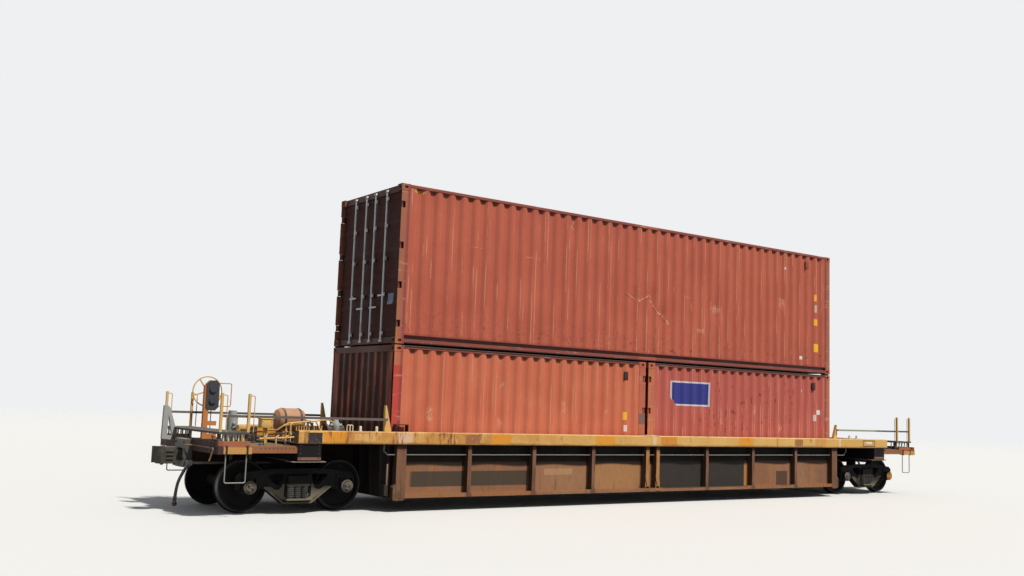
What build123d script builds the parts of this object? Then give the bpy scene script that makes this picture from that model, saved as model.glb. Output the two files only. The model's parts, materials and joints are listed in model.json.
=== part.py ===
from build123d import *
import math
import os

os.makedirs("parts", exist_ok=True)

# A stand-alone double-stack well car for forty-foot containers, with one forty-foot
# high-cube container stacked on two twenty-foot ones.
# X runs along the car and -X is the hand brake end, Y runs across and -Y is the side
# that the photograph shows, Z is up. The wheel flanges touch Z = 0. Millimetres.

# Running gear
wheel_r = 419
flange_h = 25
axle_z = wheel_r + flange_h
truck_x = 7727
half_wheelbase = 863.5
wheel_back = 678
rim_w = 140
journal_y = 1003
journal_r = 78
run_gap = 0.3
pad_gap = 0.5
swing_gap = 5

# Car body
chord_b = 7945
chord_a = 8035
chord_out = 1490
chord_w = 180
chord_low = 1160
chord_h = 220
post_out = 1445
sheet_in = 1320
sheet_t = 10
sheet_out = sheet_in + sheet_t
sill_low = 240
sill_t = 22
sill_top = sill_low + sill_t
rib_x = (1610, 3085, 4555)
rib_w = 80
centre_post_x = 145
centre_post_w = 92
end_post_x = 5980
end_post_w = 190
end_post_low = 200
well_end = 6160
bulkhead_t = 12
bolster_w = 410
bolster_low = 877
sill_half = 178
sill_wall = 14
draft_low = 740
striker_t = 125
side_sill_low = 1010
side_sill_top = 1118
side_sill_out = 1450
side_sill_w = 80
end_sill_x = 9185
end_sill_w = 80
end_sill_low = 990
end_sill_top = 1190
draft_end = end_sill_x + end_sill_w
walk_low = 1300
walk_t = 35
walk_top = walk_low + walk_t
walk_half = 1400
end_stand_y = 815
end_stand_t = 70

# Train pipe along the sides
pipe_y = 1385
pipe_z = 985
pipe_r = 13

# Containers: outside sizes, corner castings and sheet metal
box_w = 2438
box40_l = 12192
box40_h = 2896
box20_l = 6058
box20_h = 2591
box_gap = 76
lower_z = 319
lock_t = 25
upper_z = lower_z + box20_h + lock_t
cast_x = 178
cast_y = 162
cast_z = 118
inset = 3
post_x = 150
post_y = 60
rail_low = 13
rail_h = 152
top_rail = 60
sheet = 4
wave_pitch = 278
wave_flat = 72
wave_slope = 68
wave_depth = 36


# Car body: the two top chords are square tubes, closed at their ends
with BuildPart() as top_chords:
    chord_z = chord_low + chord_h / 2
    chord_y = chord_out - chord_w / 2
    with BuildSketch(Plane.YZ.offset(-chord_b)):
        with Locations([(side * chord_y, chord_z) for side in (-1, 1)]):
            RectangleRounded(chord_w, chord_h, 18)
    extrude(amount=chord_b + chord_a)
top_chords.part.label = "top_chords"
export_step(top_chords.part, "parts/top_chords.step")

# Car body: side sheets between the chord and the bottom sill
end_post_in = end_post_x - end_post_w / 2
end_post_far = end_post_x + end_post_w / 2
with BuildPart() as side_sheets:
    for side in (-1, 1):
        with Locations((0, side * (sheet_in + sheet_t / 2), (sill_top + chord_low) / 2)):
            Box(2 * end_post_far, sheet_t, chord_low - sill_top)
side_sheets.part.label = "side_sheets"
export_step(side_sheets.part, "parts/side_sheets.step")

# Car body: posts outside the sheets. Each row is a distance from the middle, the width above, how
# far the foot is wider towards the middle and outwards, the bottom of the foot and its corner radius
post_rows = [(x, rib_w, 0, 0, sill_top, 0) for x in rib_x]
post_rows += [(centre_post_x, centre_post_w, 15, 15, sill_top, 0)]
post_rows += [(end_post_x, end_post_w, 0, 50, end_post_low, 45)]
foot_top = 430
foot_blend = 60
with BuildPart() as side_posts:
    for x, w, wide_in, wide_out, low, radius in post_rows:
        with BuildSketch(Plane.XZ.offset(sheet_out)) as post:
            with BuildLine():
                Polyline(
                    (x - w / 2 - wide_in, low),
                    (x + w / 2 + wide_out, low),
                    (x + w / 2 + wide_out, foot_top),
                    (x + w / 2, foot_top + foot_blend),
                    (x + w / 2, chord_low),
                    (x - w / 2, chord_low),
                    (x - w / 2, foot_top + foot_blend),
                    (x - w / 2 - wide_in, foot_top),
                    close=True,
                )
            make_face()
            if radius:
                fillet(post.vertices().group_by(Axis.Y)[0], radius)
        extrude(amount=post_out - sheet_out)
        # the train pipe runs through the post
        with Locations(Location((x, -pipe_y, pipe_z), (0, 90, 0))):
            Cylinder(pipe_r + 3, w + 20, mode=Mode.SUBTRACT)
    # the twin posts in the middle have pockets in their feet
    with Locations((centre_post_x, -post_out, sill_top + 62)):
        Box(86, 100, 44, mode=Mode.SUBTRACT)
    mirror(about=Plane.XZ)
    mirror(about=Plane.YZ)
side_posts.part.label = "side_posts"
export_step(side_posts.part, "parts/side_posts.step")

# Car body: bottom sill, a ledge under the sheet with a short upturned lip between the posts
lip_h = 50
lip_t = 12
ledge_in = 1245
feet = [(x - w / 2 - wide_in, x + w / 2 + wide_out) for x, w, wide_in, wide_out, _, _ in post_rows]
feet = sorted(feet + [(-right, -left) for left, right in feet])
with BuildPart() as bottom_sills:
    ledge_mid = (ledge_in + post_out) / 2
    with Locations((0, -ledge_mid, sill_low + sill_t / 2)):
        Box(2 * end_post_in, post_out - ledge_in, sill_t)
    for (_, left), (right, _) in zip(feet, feet[1:]):
        if right - left > lip_h:
            with Locations(((left + right) / 2, -post_out + lip_t / 2, sill_top + lip_h / 2)):
                Box(right - left, lip_t, lip_h)
    mirror(about=Plane.XZ)
bottom_sills.part.label = "bottom_sills"
export_step(bottom_sills.part, "parts/bottom_sills.step")

# Car body: cross beams of the open well floor, as (place along X, width), with the seats
# for the corner castings of the two lower containers
seat_x = (box_gap / 2 + cast_x / 2, box20_l + box_gap / 2 - cast_x / 2)
seat_y = box_w / 2 - cast_y / 2
beam_top = lower_z - 12
beam_h = 85
beam_rows = [(s * x, 120) for x in rib_x for s in (-1, 1)]
beam_rows += [(s * centre_post_x, 200) for s in (-1, 1)]
beam_rows += [(s * seat_x[1], 220) for s in (-1, 1)]
with BuildPart() as floor_beams:
    for x, w in beam_rows:
        with BuildSketch(Plane.XZ.offset(-ledge_in)):
            with BuildLine():
                Polyline(
                    (x - w / 2, beam_top),
                    (x + w / 2, beam_top),
                    (x + w / 2, beam_top - 14),
                    (x + w / 2 - 26, beam_top - beam_h),
                    (x - w / 2 + 26, beam_top - beam_h),
                    (x - w / 2, beam_top - 14),
                    close=True,
                )
            make_face()
        extrude(amount=2 * ledge_in)
    with Locations([(sx * x, sy * seat_y, (beam_top + lower_z) / 2)
                    for x in seat_x for sx in (-1, 1) for sy in (-1, 1)]):
        Box(170, 160, lower_z - beam_top)
floor_beams.part.label = "floor_beams"
export_step(floor_beams.part, "parts/floor_beams.step")

# Car body: bulkheads at the two ends of the well, stiffened on the truck side
deck_z = chord_low
bulkhead_out = well_end + bulkhead_t
with BuildPart() as end_bulkheads:
    with Locations((well_end + bulkhead_t / 2, 0, (sill_low + deck_z) / 2)):
        Box(bulkhead_t, 2 * sheet_out, deck_z - sill_low)
    for y in (-1180, -800, -420, 420, 800, 1180):
        with BuildSketch(Plane.XZ.offset(-y - 8)):
            with BuildLine():
                Polyline(
                    (bulkhead_out, sill_low),
                    (bulkhead_out + 70, sill_low + 60),
                    (bulkhead_out + 110, deck_z),
                    (bulkhead_out, deck_z),
                    close=True,
                )
            make_face()
        extrude(amount=16)
    for sy in (-1, 1):
        with Locations((bulkhead_out + 30, sy * (sheet_out - 60), sill_low + 130)):
            Box(60, 120, 180)
    mirror(about=Plane.YZ)
end_bulkheads.part.label = "end_bulkheads"
export_step(end_bulkheads.part, "parts/end_bulkheads.step")

# Car body: deck plates between the chords, from the bulkhead out to the bolster
bolster_in = truck_x - bolster_w / 2
bolster_out = truck_x + bolster_w / 2
deck_t = 12
deck_in = chord_out - chord_w
with BuildPart() as deck_plates:
    for end, x_out in ((-1, chord_b), (1, chord_a)):
        with Locations((end * (well_end + x_out) / 2, 0, deck_z + deck_t / 2)):
            Box(x_out - well_end, 2 * deck_in, deck_t)
deck_plates.part.label = "deck_plates"
export_step(deck_plates.part, "parts/deck_plates.step")

# Car body: draft sills, hollow boxes that carry the centre plate and the coupler pin and end in
# the striker, whose mouth holds up the coupler's shank
centre_plate_r = 178
plate_z = 680
coupler_z = 901
pin_x = 9000
pin_r = 40
shank_w = 130
shank_h = 160
mouth_w = 300
mouth_h = 205
striker_rows = (
    (200, draft_low - 30),
    (260, draft_low + 60),
    (260, deck_z + 12),
    (-260, deck_z + 12),
    (-260, draft_low + 60),
    (-200, draft_low - 30),
)
with BuildPart() as draft_sills:
    with BuildSketch(Plane.YZ.offset(bulkhead_out + 110)):
        with Locations((0, (draft_low + deck_z) / 2)):
            Rectangle(2 * sill_half, deck_z - draft_low)
            Rectangle(2 * (sill_half - sill_wall), deck_z - draft_low - 2 * sill_wall, mode=Mode.SUBTRACT)
    extrude(amount=draft_end - bulkhead_out - 110)
    with BuildSketch(Plane.YZ.offset(draft_end)):
        with BuildLine():
            Polyline(*striker_rows, close=True)
        make_face()
        with Locations((0, coupler_z - shank_h / 2 - swing_gap + mouth_h / 2)):
            Rectangle(mouth_w, mouth_h, mode=Mode.SUBTRACT)
    extrude(amount=striker_t)
    with BuildSketch(Plane.XY.offset(plate_z + pad_gap)):
        with Locations((truck_x, 0)):
            Circle(centre_plate_r)
    extrude(amount=draft_low - plate_z - pad_gap)
    with Locations((pin_x, 0, (draft_low + deck_z) / 2)):
        Cylinder(pin_r, deck_z - draft_low)
    mirror(about=Plane.YZ)
draft_sills.part.label = "draft_sills"
export_step(draft_sills.part, "parts/draft_sills.step")

# Car body: body bolsters, tapered wings on both sides of the draft sill, with the light
# bottom flange plates and the body side bearings
bearing_y = 635
bearing_z = 668
wing_tip = 1470
with BuildPart() as body_bolsters:
    with BuildSketch(Plane.YZ.offset(bolster_in)):
        with BuildLine():
            Polyline(
                (sill_half, deck_z),
                (wing_tip, deck_z),
                (wing_tip, bolster_low),
                (1180, bolster_low),
                (500, draft_low + 20),
                (sill_half, draft_low + 20),
                close=True,
            )
        make_face()
    extrude(amount=bolster_w)
    with Locations((truck_x, 1325, bolster_low - 7)):
        Box(604, 290, 14)
    with BuildSketch(Plane.XY.offset(bearing_z + pad_gap)):
        with Locations((truck_x, bearing_y)):
            Rectangle(240, 110)
    extrude(amount=150)
    mirror(about=Plane.XZ)
    mirror(about=Plane.YZ)
body_bolsters.part.label = "body_bolsters"
export_step(body_bolsters.part, "parts/body_bolsters.step")

# Car body: end platform frames, one U of side sills and end sill at each end, with cross bearers
# and a deck on each side of the draft sill
frame_mid = (side_sill_low + side_sill_top) / 2
bearer_x = (8290, 8625)
floor_sheet = 8
floor_z = side_sill_top + floor_sheet
# step brackets on the side sills, as (end, inner edge, outer edge, width, low, high)
step_top = 996
bracket_rows = (
    (-1, 8744, 9255, 80, side_sill_top, 1195),
    (-1, 8715, 9180, 94, step_top, 1100),
    (1, 8600, 9110, 80, side_sill_top, 1180),
    (1, 8740, 9262, 94, step_top, 1090),
)
with BuildPart() as platform_frames:
    with BuildSketch(Plane.YZ.offset(end_sill_x)):
        with Locations((0, (end_sill_low + end_sill_top) / 2)):
            Rectangle(2 * side_sill_out, end_sill_top - end_sill_low)
        with Locations((0, (end_sill_low + deck_z) / 2)):
            Rectangle(2 * sill_half, deck_z - end_sill_low, mode=Mode.SUBTRACT)
    extrude(amount=end_sill_w)
    for sy in (-1, 1):
        with BuildSketch(Plane.YZ.offset(bolster_out)):
            with BuildLine():
                Polyline(
                    (sy * side_sill_out, side_sill_low),
                    (sy * side_sill_out, floor_z),
                    (sy * sill_half, floor_z),
                    (sy * sill_half, side_sill_top),
                    (sy * (side_sill_out - 12), side_sill_top),
                    (sy * (side_sill_out - 12), side_sill_low + 12),
                    (sy * (side_sill_out - side_sill_w), side_sill_low + 12),
                    (sy * (side_sill_out - side_sill_w), side_sill_low),
                    close=True,
                )
            make_face()
        extrude(amount=end_sill_x - bolster_out)
        for x in bearer_x:
            with Locations((x, sy * (sill_half + side_sill_out - 12) / 2, frame_mid)):
                Box(70, side_sill_out - 12 - sill_half, side_sill_top - side_sill_low)
    mirror(about=Plane.YZ)
    for end, x_in, x_out, wide, low, high in bracket_rows:
        for sy in (-1, 1):
            y = sy * (side_sill_out - side_sill_w + wide / 2)
            with Locations((end * (x_in + x_out) / 2, y, (low + high) / 2)):
                Box(x_out - x_in, wide, high - low)
platform_frames.part.label = "platform_frames"
export_step(platform_frames.part, "parts/platform_frames.step")

# Car body: raised crossover walkways, as (end, inner edge, outer edge), and their legs, as (end,
# place along the car, foot). A notch lets the end stand through
walk_rows = ((-1, 8750, 9255), (1, 8540, 9200))
leg_rows = ((-1, 8785, floor_z), (-1, 9225, end_sill_top), (1, 8575, floor_z), (1, 9150, floor_z))
slot_l = 380
slot_w = 44
notch_in = 9205
with BuildPart() as walkways:
    for end, x_in, x_out in walk_rows:
        mid = end * (x_in + x_out) / 2
        with BuildSketch(Plane.XY.offset(walk_low)):
            with Locations((mid, 0)):
                Rectangle(x_out - x_in, 2 * walk_half)
                with GridLocations(0, 140, 1, 18):
                    Rectangle(slot_l, slot_w, mode=Mode.SUBTRACT)
            with Locations((-notch_in - 100, end_stand_y)):
                Rectangle(200, end_stand_t + 2 * swing_gap, mode=Mode.SUBTRACT)
        extrude(amount=walk_t)
    for end, x, foot in leg_rows:
        for sy in (-1, 1):
            with Locations((end * x, sy * (walk_half - 62), (foot + walk_low) / 2)):
                Box(50, 50, walk_low - foot)
walkways.part.label = "walkways"
export_step(walkways.part, "parts/walkways.step")

# Car body: stirrup steps of bent rod, as (end, inner leg, outer leg)
step_r = 10
step_low = 545
step_y = side_sill_out - 20
step_rows = ((-1, 8790, 9130), (1, 8765, 9060))
with BuildPart() as sill_steps:
    for end, x_in, x_out in step_rows:
        for sy in (-1, 1):
            with BuildLine() as stirrup:
                FilletPolyline(
                    (end * x_in, sy * step_y, step_top),
                    (end * x_in, sy * step_y, step_low),
                    (end * x_out, sy * step_y, step_low),
                    (end * x_out, sy * step_y, step_top),
                    radius=30,
                )
            with BuildSketch(Plane(origin=stirrup.line @ 0, z_dir=stirrup.line % 0)):
                RegularPolygon(step_r, 10)
            sweep(path=stirrup.line)
sill_steps.part.label = "sill_steps"
export_step(sill_steps.part, "parts/sill_steps.step")

# Car body: grab posts on the walkways, each with a slim loop beside it
post_top = 1945
grab_rows = ((-1, 8772), (-1, 9226), (1, 8612), (1, 9145))
grab_w = 40
loop_r = 8
with BuildPart() as grab_posts:
    for end, x in grab_rows:
        for sy in (-1, 1):
            y = sy * (walk_half - grab_w / 2)
            with Locations((end * x, y, (walk_top + post_top) / 2)):
                Box(grab_w, grab_w, post_top - walk_top)
            with BuildLine() as loop:
                FilletPolyline(
                    (end * x, y, post_top - 30),
                    (end * (x - 90), y, post_top - 30),
                    (end * (x - 90), y, walk_top),
                    radius=28,
                )
            with BuildSketch(Plane(origin=loop.line @ 0, z_dir=loop.line % 0)):
                RegularPolygon(loop_r, 8)
            sweep(path=loop.line)
grab_posts.part.label = "grab_posts"
export_step(grab_posts.part, "parts/grab_posts.step")

# Hand brake on the far side of the brake end: its stand with the gear housing and a guard of bent
# rod beside it, and its wheel
brake_z = 1968
brake_wheel_x = -8525
brake_wheel_y = 1290
brake_wheel_r = 279
rim_r = 11
stand_x = -8618
stand_y = 1100
stand_w = 90
stand_d = 70
stand_top = 2080
housing_x = -8512
housing_z = 1898
housing_w = 238
housing_h = 540
housing_t = 90
boss_r = 62
shaft_r = 16
hub_r = 46
guard_out = -8155
guard_r = 9
with BuildPart() as handbrake_stand:
    with Locations((stand_x, stand_y, (floor_z + stand_top) / 2)):
        Box(stand_w, stand_d, stand_top - floor_z)
    for z, w, h in ((floor_z + 45, 170, 90), (1400, 160, 80)):
        with Locations((stand_x + (stand_w + w) / 2, stand_y, z)):
            Box(w, stand_d, h)
    with BuildSketch(Plane.XZ.offset(-stand_y - housing_t / 2)) as housing:
        with Locations((housing_x, housing_z)):
            Rectangle(housing_w, housing_h)
        chamfer(housing.vertices(), 62)
    extrude(amount=housing_t)
    with BuildSketch(Plane.XZ.offset(-stand_y + housing_t / 2)):
        with Locations((housing_x, brake_z + 44), (housing_x, brake_z - 155)):
            Circle(boss_r)
    extrude(amount=24)
    with Locations(Location((brake_wheel_x, (stand_y + brake_wheel_y) / 2, brake_z), (90, 0, 0))):
        Cylinder(shaft_r, brake_wheel_y - stand_y)
    with BuildLine() as guard:
        FilletPolyline(
            (housing_x, stand_y, brake_z + 155),
            (guard_out, stand_y, brake_z + 155),
            (guard_out, stand_y, brake_z - 260),
            (housing_x, stand_y, brake_z - 260),
            radius=30,
        )
    with BuildSketch(Plane(origin=guard.line @ 0, z_dir=guard.line % 0)):
        RegularPolygon(guard_r, 8)
    sweep(path=guard.line)
handbrake_stand.part.label = "handbrake_stand"
export_step(handbrake_stand.part, "parts/handbrake_stand.step")

spokes = 5
with BuildPart() as handbrake_wheel:
    hub_plane = Plane(origin=(brake_wheel_x, brake_wheel_y, brake_z), x_dir=(1, 0, 0), z_dir=(0, 1, 0))
    with BuildSketch(Plane(origin=hub_plane.origin, x_dir=(0, 1, 0), z_dir=(1, 0, 0))):
        with Locations((23, brake_wheel_r - rim_r)):
            RegularPolygon(rim_r, 8, rotation=22.5)
        with Locations((18, hub_r / 2)):
            Rectangle(36, hub_r)
    revolve(axis=Axis(hub_plane.origin, (0, 1, 0)))
    with BuildSketch(hub_plane.offset(18)):
        spoke_l = brake_wheel_r - rim_r - hub_r + 6
        with PolarLocations(hub_r - 6 + spoke_l / 2, spokes, 18):
            Rectangle(spoke_l, 24)
    extrude(amount=10)
handbrake_wheel.part.label = "handbrake_wheel"
export_step(handbrake_wheel.part, "parts/handbrake_wheel.step")

# Brake gear on the deck of the brake end: reservoir on its saddles, cylinder and valve
deck_top = deck_z + deck_t
tank_r = 215
tank_l = 580
dome = 110
tank_x = -7452
tank_y = 60
tank_z = 1505
with BuildPart() as air_reservoir:
    # the dished ends follow a quarter of an ellipse
    quarter = [math.radians(a) for a in (0, 30, 60, 90)]
    ends = [(tank_l / 2 - dome + dome * math.sin(a), tank_r * math.cos(a)) for a in quarter]
    with BuildSketch(Plane(origin=(tank_x, tank_y, tank_z), x_dir=(1, 0, 0), z_dir=(0, 1, 0))):
        with BuildLine():
            Polyline(*ends, *[(-x, r) for x, r in reversed(ends)], close=True)
        make_face()
    revolve(axis=Axis((tank_x, tank_y, tank_z), (1, 0, 0)))
    for x in (tank_x - 150, tank_x + 150):
        with Locations((x, tank_y, (deck_top + tank_z) / 2 - 60)):
            Box(50, 300, tank_z - deck_top - 120)
air_reservoir.part.label = "air_reservoir"
export_step(air_reservoir.part, "parts/air_reservoir.step")

cylinder_r = 125
cylinder_x = -6800
cylinder_y = -430
cylinder_z = deck_top + cylinder_r + 30
with BuildPart() as brake_cylinder:
    with Locations(Location((cylinder_x, cylinder_y, cylinder_z), (0, 90, 0))):
        Cylinder(cylinder_r, 300)
    with Locations(Location((cylinder_x - 170, cylinder_y, cylinder_z), (0, 90, 0))):
        Cylinder(cylinder_r + 20, 40)
    with Locations(Location((cylinder_x - 380, cylinder_y, cylinder_z), (0, 90, 0))):
        Cylinder(22, 400)
    with Locations((cylinder_x, cylinder_y, deck_top + 50)):
        Box(220, 180, 100)
brake_cylinder.part.label = "brake_cylinder"
export_step(brake_cylinder.part, "parts/brake_cylinder.step")

valve_x = -8520
with BuildPart() as control_valve:
    with Locations((valve_x, 0, deck_z + 60)):
        Box(240, 230, 120)
    with Locations((valve_x, 0, deck_z + 260)):
        Cylinder(95, 300)
    with Locations((valve_x, 0, deck_z + 450)):
        Cylinder(70, 90)
control_valve.part.label = "control_valve"
export_step(control_valve.part, "parts/control_valve.step")

# Train pipe: along both sides through the posts, and from the bolster to the angle cocks
end_pipe_y = 330
end_pipe_z = 790
end_pipe_r = 20
cock_x = 9330
pipe_turn = (6230, 6410)
pipe_rise = 90
hose_r = 25
hose_tilt = 30
nozzle_l = 95
hose_dir = Vector(math.sin(math.radians(hose_tilt)), 0, -math.cos(math.radians(hose_tilt)))
with BuildPart() as train_pipes:
    for sy in (-1, 1):
        with BuildLine() as side_pipe:
            FilletPolyline(
                (-pipe_turn[0] - 40, sy * (pipe_y - 60), deck_z),
                (-pipe_turn[0] - 40, sy * (pipe_y - 60), pipe_z + 60),
                (-pipe_turn[0], sy * pipe_y, pipe_z),
                (pipe_turn[1], sy * pipe_y, pipe_z),
                (pipe_turn[1] + pipe_rise, sy * pipe_y, pipe_z + pipe_rise),
                (pipe_turn[1] + pipe_rise, sy * pipe_y, deck_z),
                radius=22,
            )
        with BuildSketch(Plane(origin=side_pipe.line @ 0, z_dir=side_pipe.line % 0)):
            RegularPolygon(pipe_r, 8)
        sweep(path=side_pipe.line)
    for end in (-1, 1):
        with Locations(Location((end * (bolster_out + cock_x) / 2, end * end_pipe_y, end_pipe_z), (0, 90, 0))):
            Cylinder(end_pipe_r, cock_x - bolster_out)
        with Locations((end * cock_x, end * end_pipe_y, end_pipe_z)):
            Box(90, 70, 84)
        for x in bearer_x:
            with Locations((end * x, end * end_pipe_y, (end_pipe_z + side_sill_low) / 2)):
                Box(40, 30, side_sill_low - end_pipe_z)
        nozzle = Plane(origin=(end * cock_x, end * end_pipe_y, end_pipe_z), z_dir=(end * hose_dir.X, 0, hose_dir.Z))
        with BuildSketch(nozzle):
            Circle(hose_r + 6)
        extrude(amount=nozzle_l)
train_pipes.part.label = "train_pipes"
export_step(train_pipes.part, "parts/train_pipes.step")

# Air hoses hanging from the angle cocks, and the hose couplings on their ends. Each row of
# the route is the length of a run and its angle from straight down
hose_rows = ((170, 30), (170, 16), (170, 4))
hose_radii = []
for end, name in ((-1, "air_hose_b"), (1, "air_hose_a")):
    start = Vector(end * cock_x, end * end_pipe_y, end_pipe_z) + Vector(end * hose_dir.X, 0, hose_dir.Z) * nozzle_l
    points = [start]
    for run, angle in hose_rows:
        lean = math.radians(angle)
        points.append(points[-1] + Vector(end * math.sin(lean), 0, -math.cos(lean)) * run)
    turns = [math.radians(a - b) for (_, a), (_, b) in zip(hose_rows, hose_rows[1:])]
    radii = [0.45 * hose_rows[0][0] / math.tan(turn / 2) for turn in turns]
    hose_radii += radii
    with BuildPart() as air_hose:
        with BuildLine() as route:
            FilletPolyline(*points, radius=radii)
        with BuildSketch(Plane(origin=route.line @ 0, z_dir=route.line % 0)):
            Circle(hose_r)
        sweep(path=route.line)
    air_hose.part.label = name
    export_step(air_hose.part, f"parts/{name}.step")
print("hose bend radii", [round(r) for r in hose_radii])

with BuildPart() as hose_couplings:
    for end in (-1, 1):
        tip = points[-1] if end == 1 else Vector(-points[-1].X, -points[-1].Y, points[-1].Z)
        lean = math.radians(hose_rows[-1][1])
        down = Plane(origin=tip, x_dir=(0, 1, 0), z_dir=(end * math.sin(lean), 0, -math.cos(lean)))
        with BuildSketch(down):
            Circle(hose_r + 3)
        extrude(amount=40)
        with BuildSketch(down.offset(40)):
            with Locations((20, 0)):
                RectangleRounded(105, 66, 20)
        extrude(amount=62)
hose_couplings.part.label = "hose_couplings"
export_step(hose_couplings.part, "parts/hose_couplings.step")

# Container guides: tapered horns at the ends of the well, as (end, top), a low plate on each chord
# in the middle, and an open corner bracket on one chord of each end
horn_low = deck_top
chord_top = chord_low + chord_h
horn_out = well_end + 105
horn_rows = ((-1, 1830), (1, 1710))
bracket_x = 5935
bracket_l = 250
bracket_h = 130
bracket_t = 14
with BuildPart() as container_guides:
    for end, horn_top in horn_rows:
        with BuildSketch(Plane.XZ.offset(-deck_in + 5)):
            with BuildLine():
                Polyline(
                    (end * horn_out, horn_low),
                    (end * horn_out, horn_top),
                    (end * (horn_out - 22), horn_top),
                    (end * (horn_out - 132), chord_top + 20),
                    (end * (horn_out - 132), horn_low),
                    close=True,
                )
            make_face()
        extrude(amount=60)
    with Locations((0, (box_w / 2 + swing_gap + chord_out - 45) / 2, chord_top + 7)):
        Box(110, chord_out - 45 - box_w / 2 - swing_gap, 14)
    mirror(about=Plane.XZ)
    for end in (-1, 1):
        bracket_in = box_w / 2 + swing_gap + 10
        with BuildSketch(Plane.XZ.offset(-bracket_in if end > 0 else bracket_in)):
            with Locations((end * bracket_x, chord_top + bracket_h / 2)):
                Rectangle(bracket_l, bracket_h)
                with Locations((0, -bracket_t / 2)):
                    Rectangle(bracket_l - 2 * bracket_t, bracket_h - bracket_t, mode=Mode.SUBTRACT)
        extrude(amount=-end * 110)
container_guides.part.label = "container_guides"
export_step(container_guides.part, "parts/container_guides.step")

# Long hand rails from the guide horns out to the grab posts
rail_z = 1585
rail_w = 45
rail_in = horn_out - 30
clip_l = 24
with BuildPart() as hand_rails:
    for end, x_out in ((-1, grab_rows[1][1]), (1, grab_rows[3][1])):
        for sy in (-1, 1):
            y = sy * (walk_half - grab_w - rail_w / 2)
            with Locations((end * (rail_in + x_out) / 2, y, rail_z)):
                Box(x_out - rail_in, rail_w, 40)
            # a clip holds the rail to the side of the horn
            clip = walk_half - grab_w - rail_w - deck_in + 5
            with Locations((end * (rail_in + clip_l / 2), sy * (deck_in - 5 + clip / 2), rail_z)):
                Box(clip_l, clip, 40)
hand_rails.part.label = "hand_rails"
export_step(hand_rails.part, "parts/hand_rails.step")

# Uncoupling levers along the end sills, and the stand on the brake end's end sill
lever_r = 12
lever_x = end_sill_x + end_sill_w + 30
lever_z = 1080
with BuildPart() as uncoupling_levers:
    for end in (-1, 1):
        with BuildLine() as lever:
            FilletPolyline(
                (end * (lever_x + 110), end * 290, lever_z),
                (end * lever_x, end * 360, lever_z),
                (end * lever_x, end * 1330, lever_z),
                (end * (lever_x + 60), end * 1330, lever_z - 200),
                radius=40,
            )
        with BuildSketch(Plane(origin=lever.line @ 0, z_dir=lever.line % 0)):
            RegularPolygon(lever_r, 8)
        sweep(path=lever.line)
        for y in (430, 1200):
            with Locations((end * (end_sill_x + end_sill_w + 22), end * y, lever_z)):
                Box(44, 30, 50)
uncoupling_levers.part.label = "uncoupling_levers"
export_step(uncoupling_levers.part, "parts/uncoupling_levers.step")

stand_out = end_sill_x + end_sill_w
stand_far = stand_out + 193
with BuildPart() as end_stand:
    with BuildSketch(Plane.XZ.offset(-end_stand_y - end_stand_t / 2)):
        with BuildLine():
            Polyline(
                (-stand_out, 1110),
                (-stand_far, 1130),
                (-stand_far + 11, 1700),
                (-stand_far + 58, 1716),
                (-stand_far + 118, 1660),
                (-end_sill_x, end_sill_top),
                (-stand_out, end_sill_top),
                close=True,
            )
        make_face()
        with BuildLine():
            Polyline(
                (-stand_far + 88, 1190),
                (-stand_far + 96, 1560),
                (-stand_out - 20, 1190),
                close=True,
            )
        make_face(mode=Mode.SUBTRACT)
    extrude(amount=end_stand_t)
end_stand.part.label = "end_stand"
export_step(end_stand.part, "parts/end_stand.step")


# Containers. Each one is (x of its door end, direction away from the doors, length, height, base);
# the second of the two lower ones mirrors the first
upper = (-box40_l / 2, 1, box40_l, box40_h, upper_z)
lower = (-box_gap / 2, -1, box20_l, box20_h, lower_z)
half_w = box_w / 2
skin_y = half_w - inset
door_x = 70
door_t = 50
door_edge = 48
frame_gap = 6

# Twist-lock slots in the castings; those that a cone or a seat can fill are wider by the play
lock_x = (box40_l - 11985) / 2
lock_y = 2259 / 2
lock_l = 124
lock_w = 63.5
lock_play = 1.5
lock_deep = 40
hole_w = 51
casting_wall = 32

# Door hinges: a barrel on each lug turns on a pin between two ears of the corner post
hinge_x = 22
hinge_y = half_w - 22
barrel_r = 11
hinge_pin_r = 6
lug_h = 110
lug_places = (0.09, 0.35, 0.62, 0.9)
ear_h = 20


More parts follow.
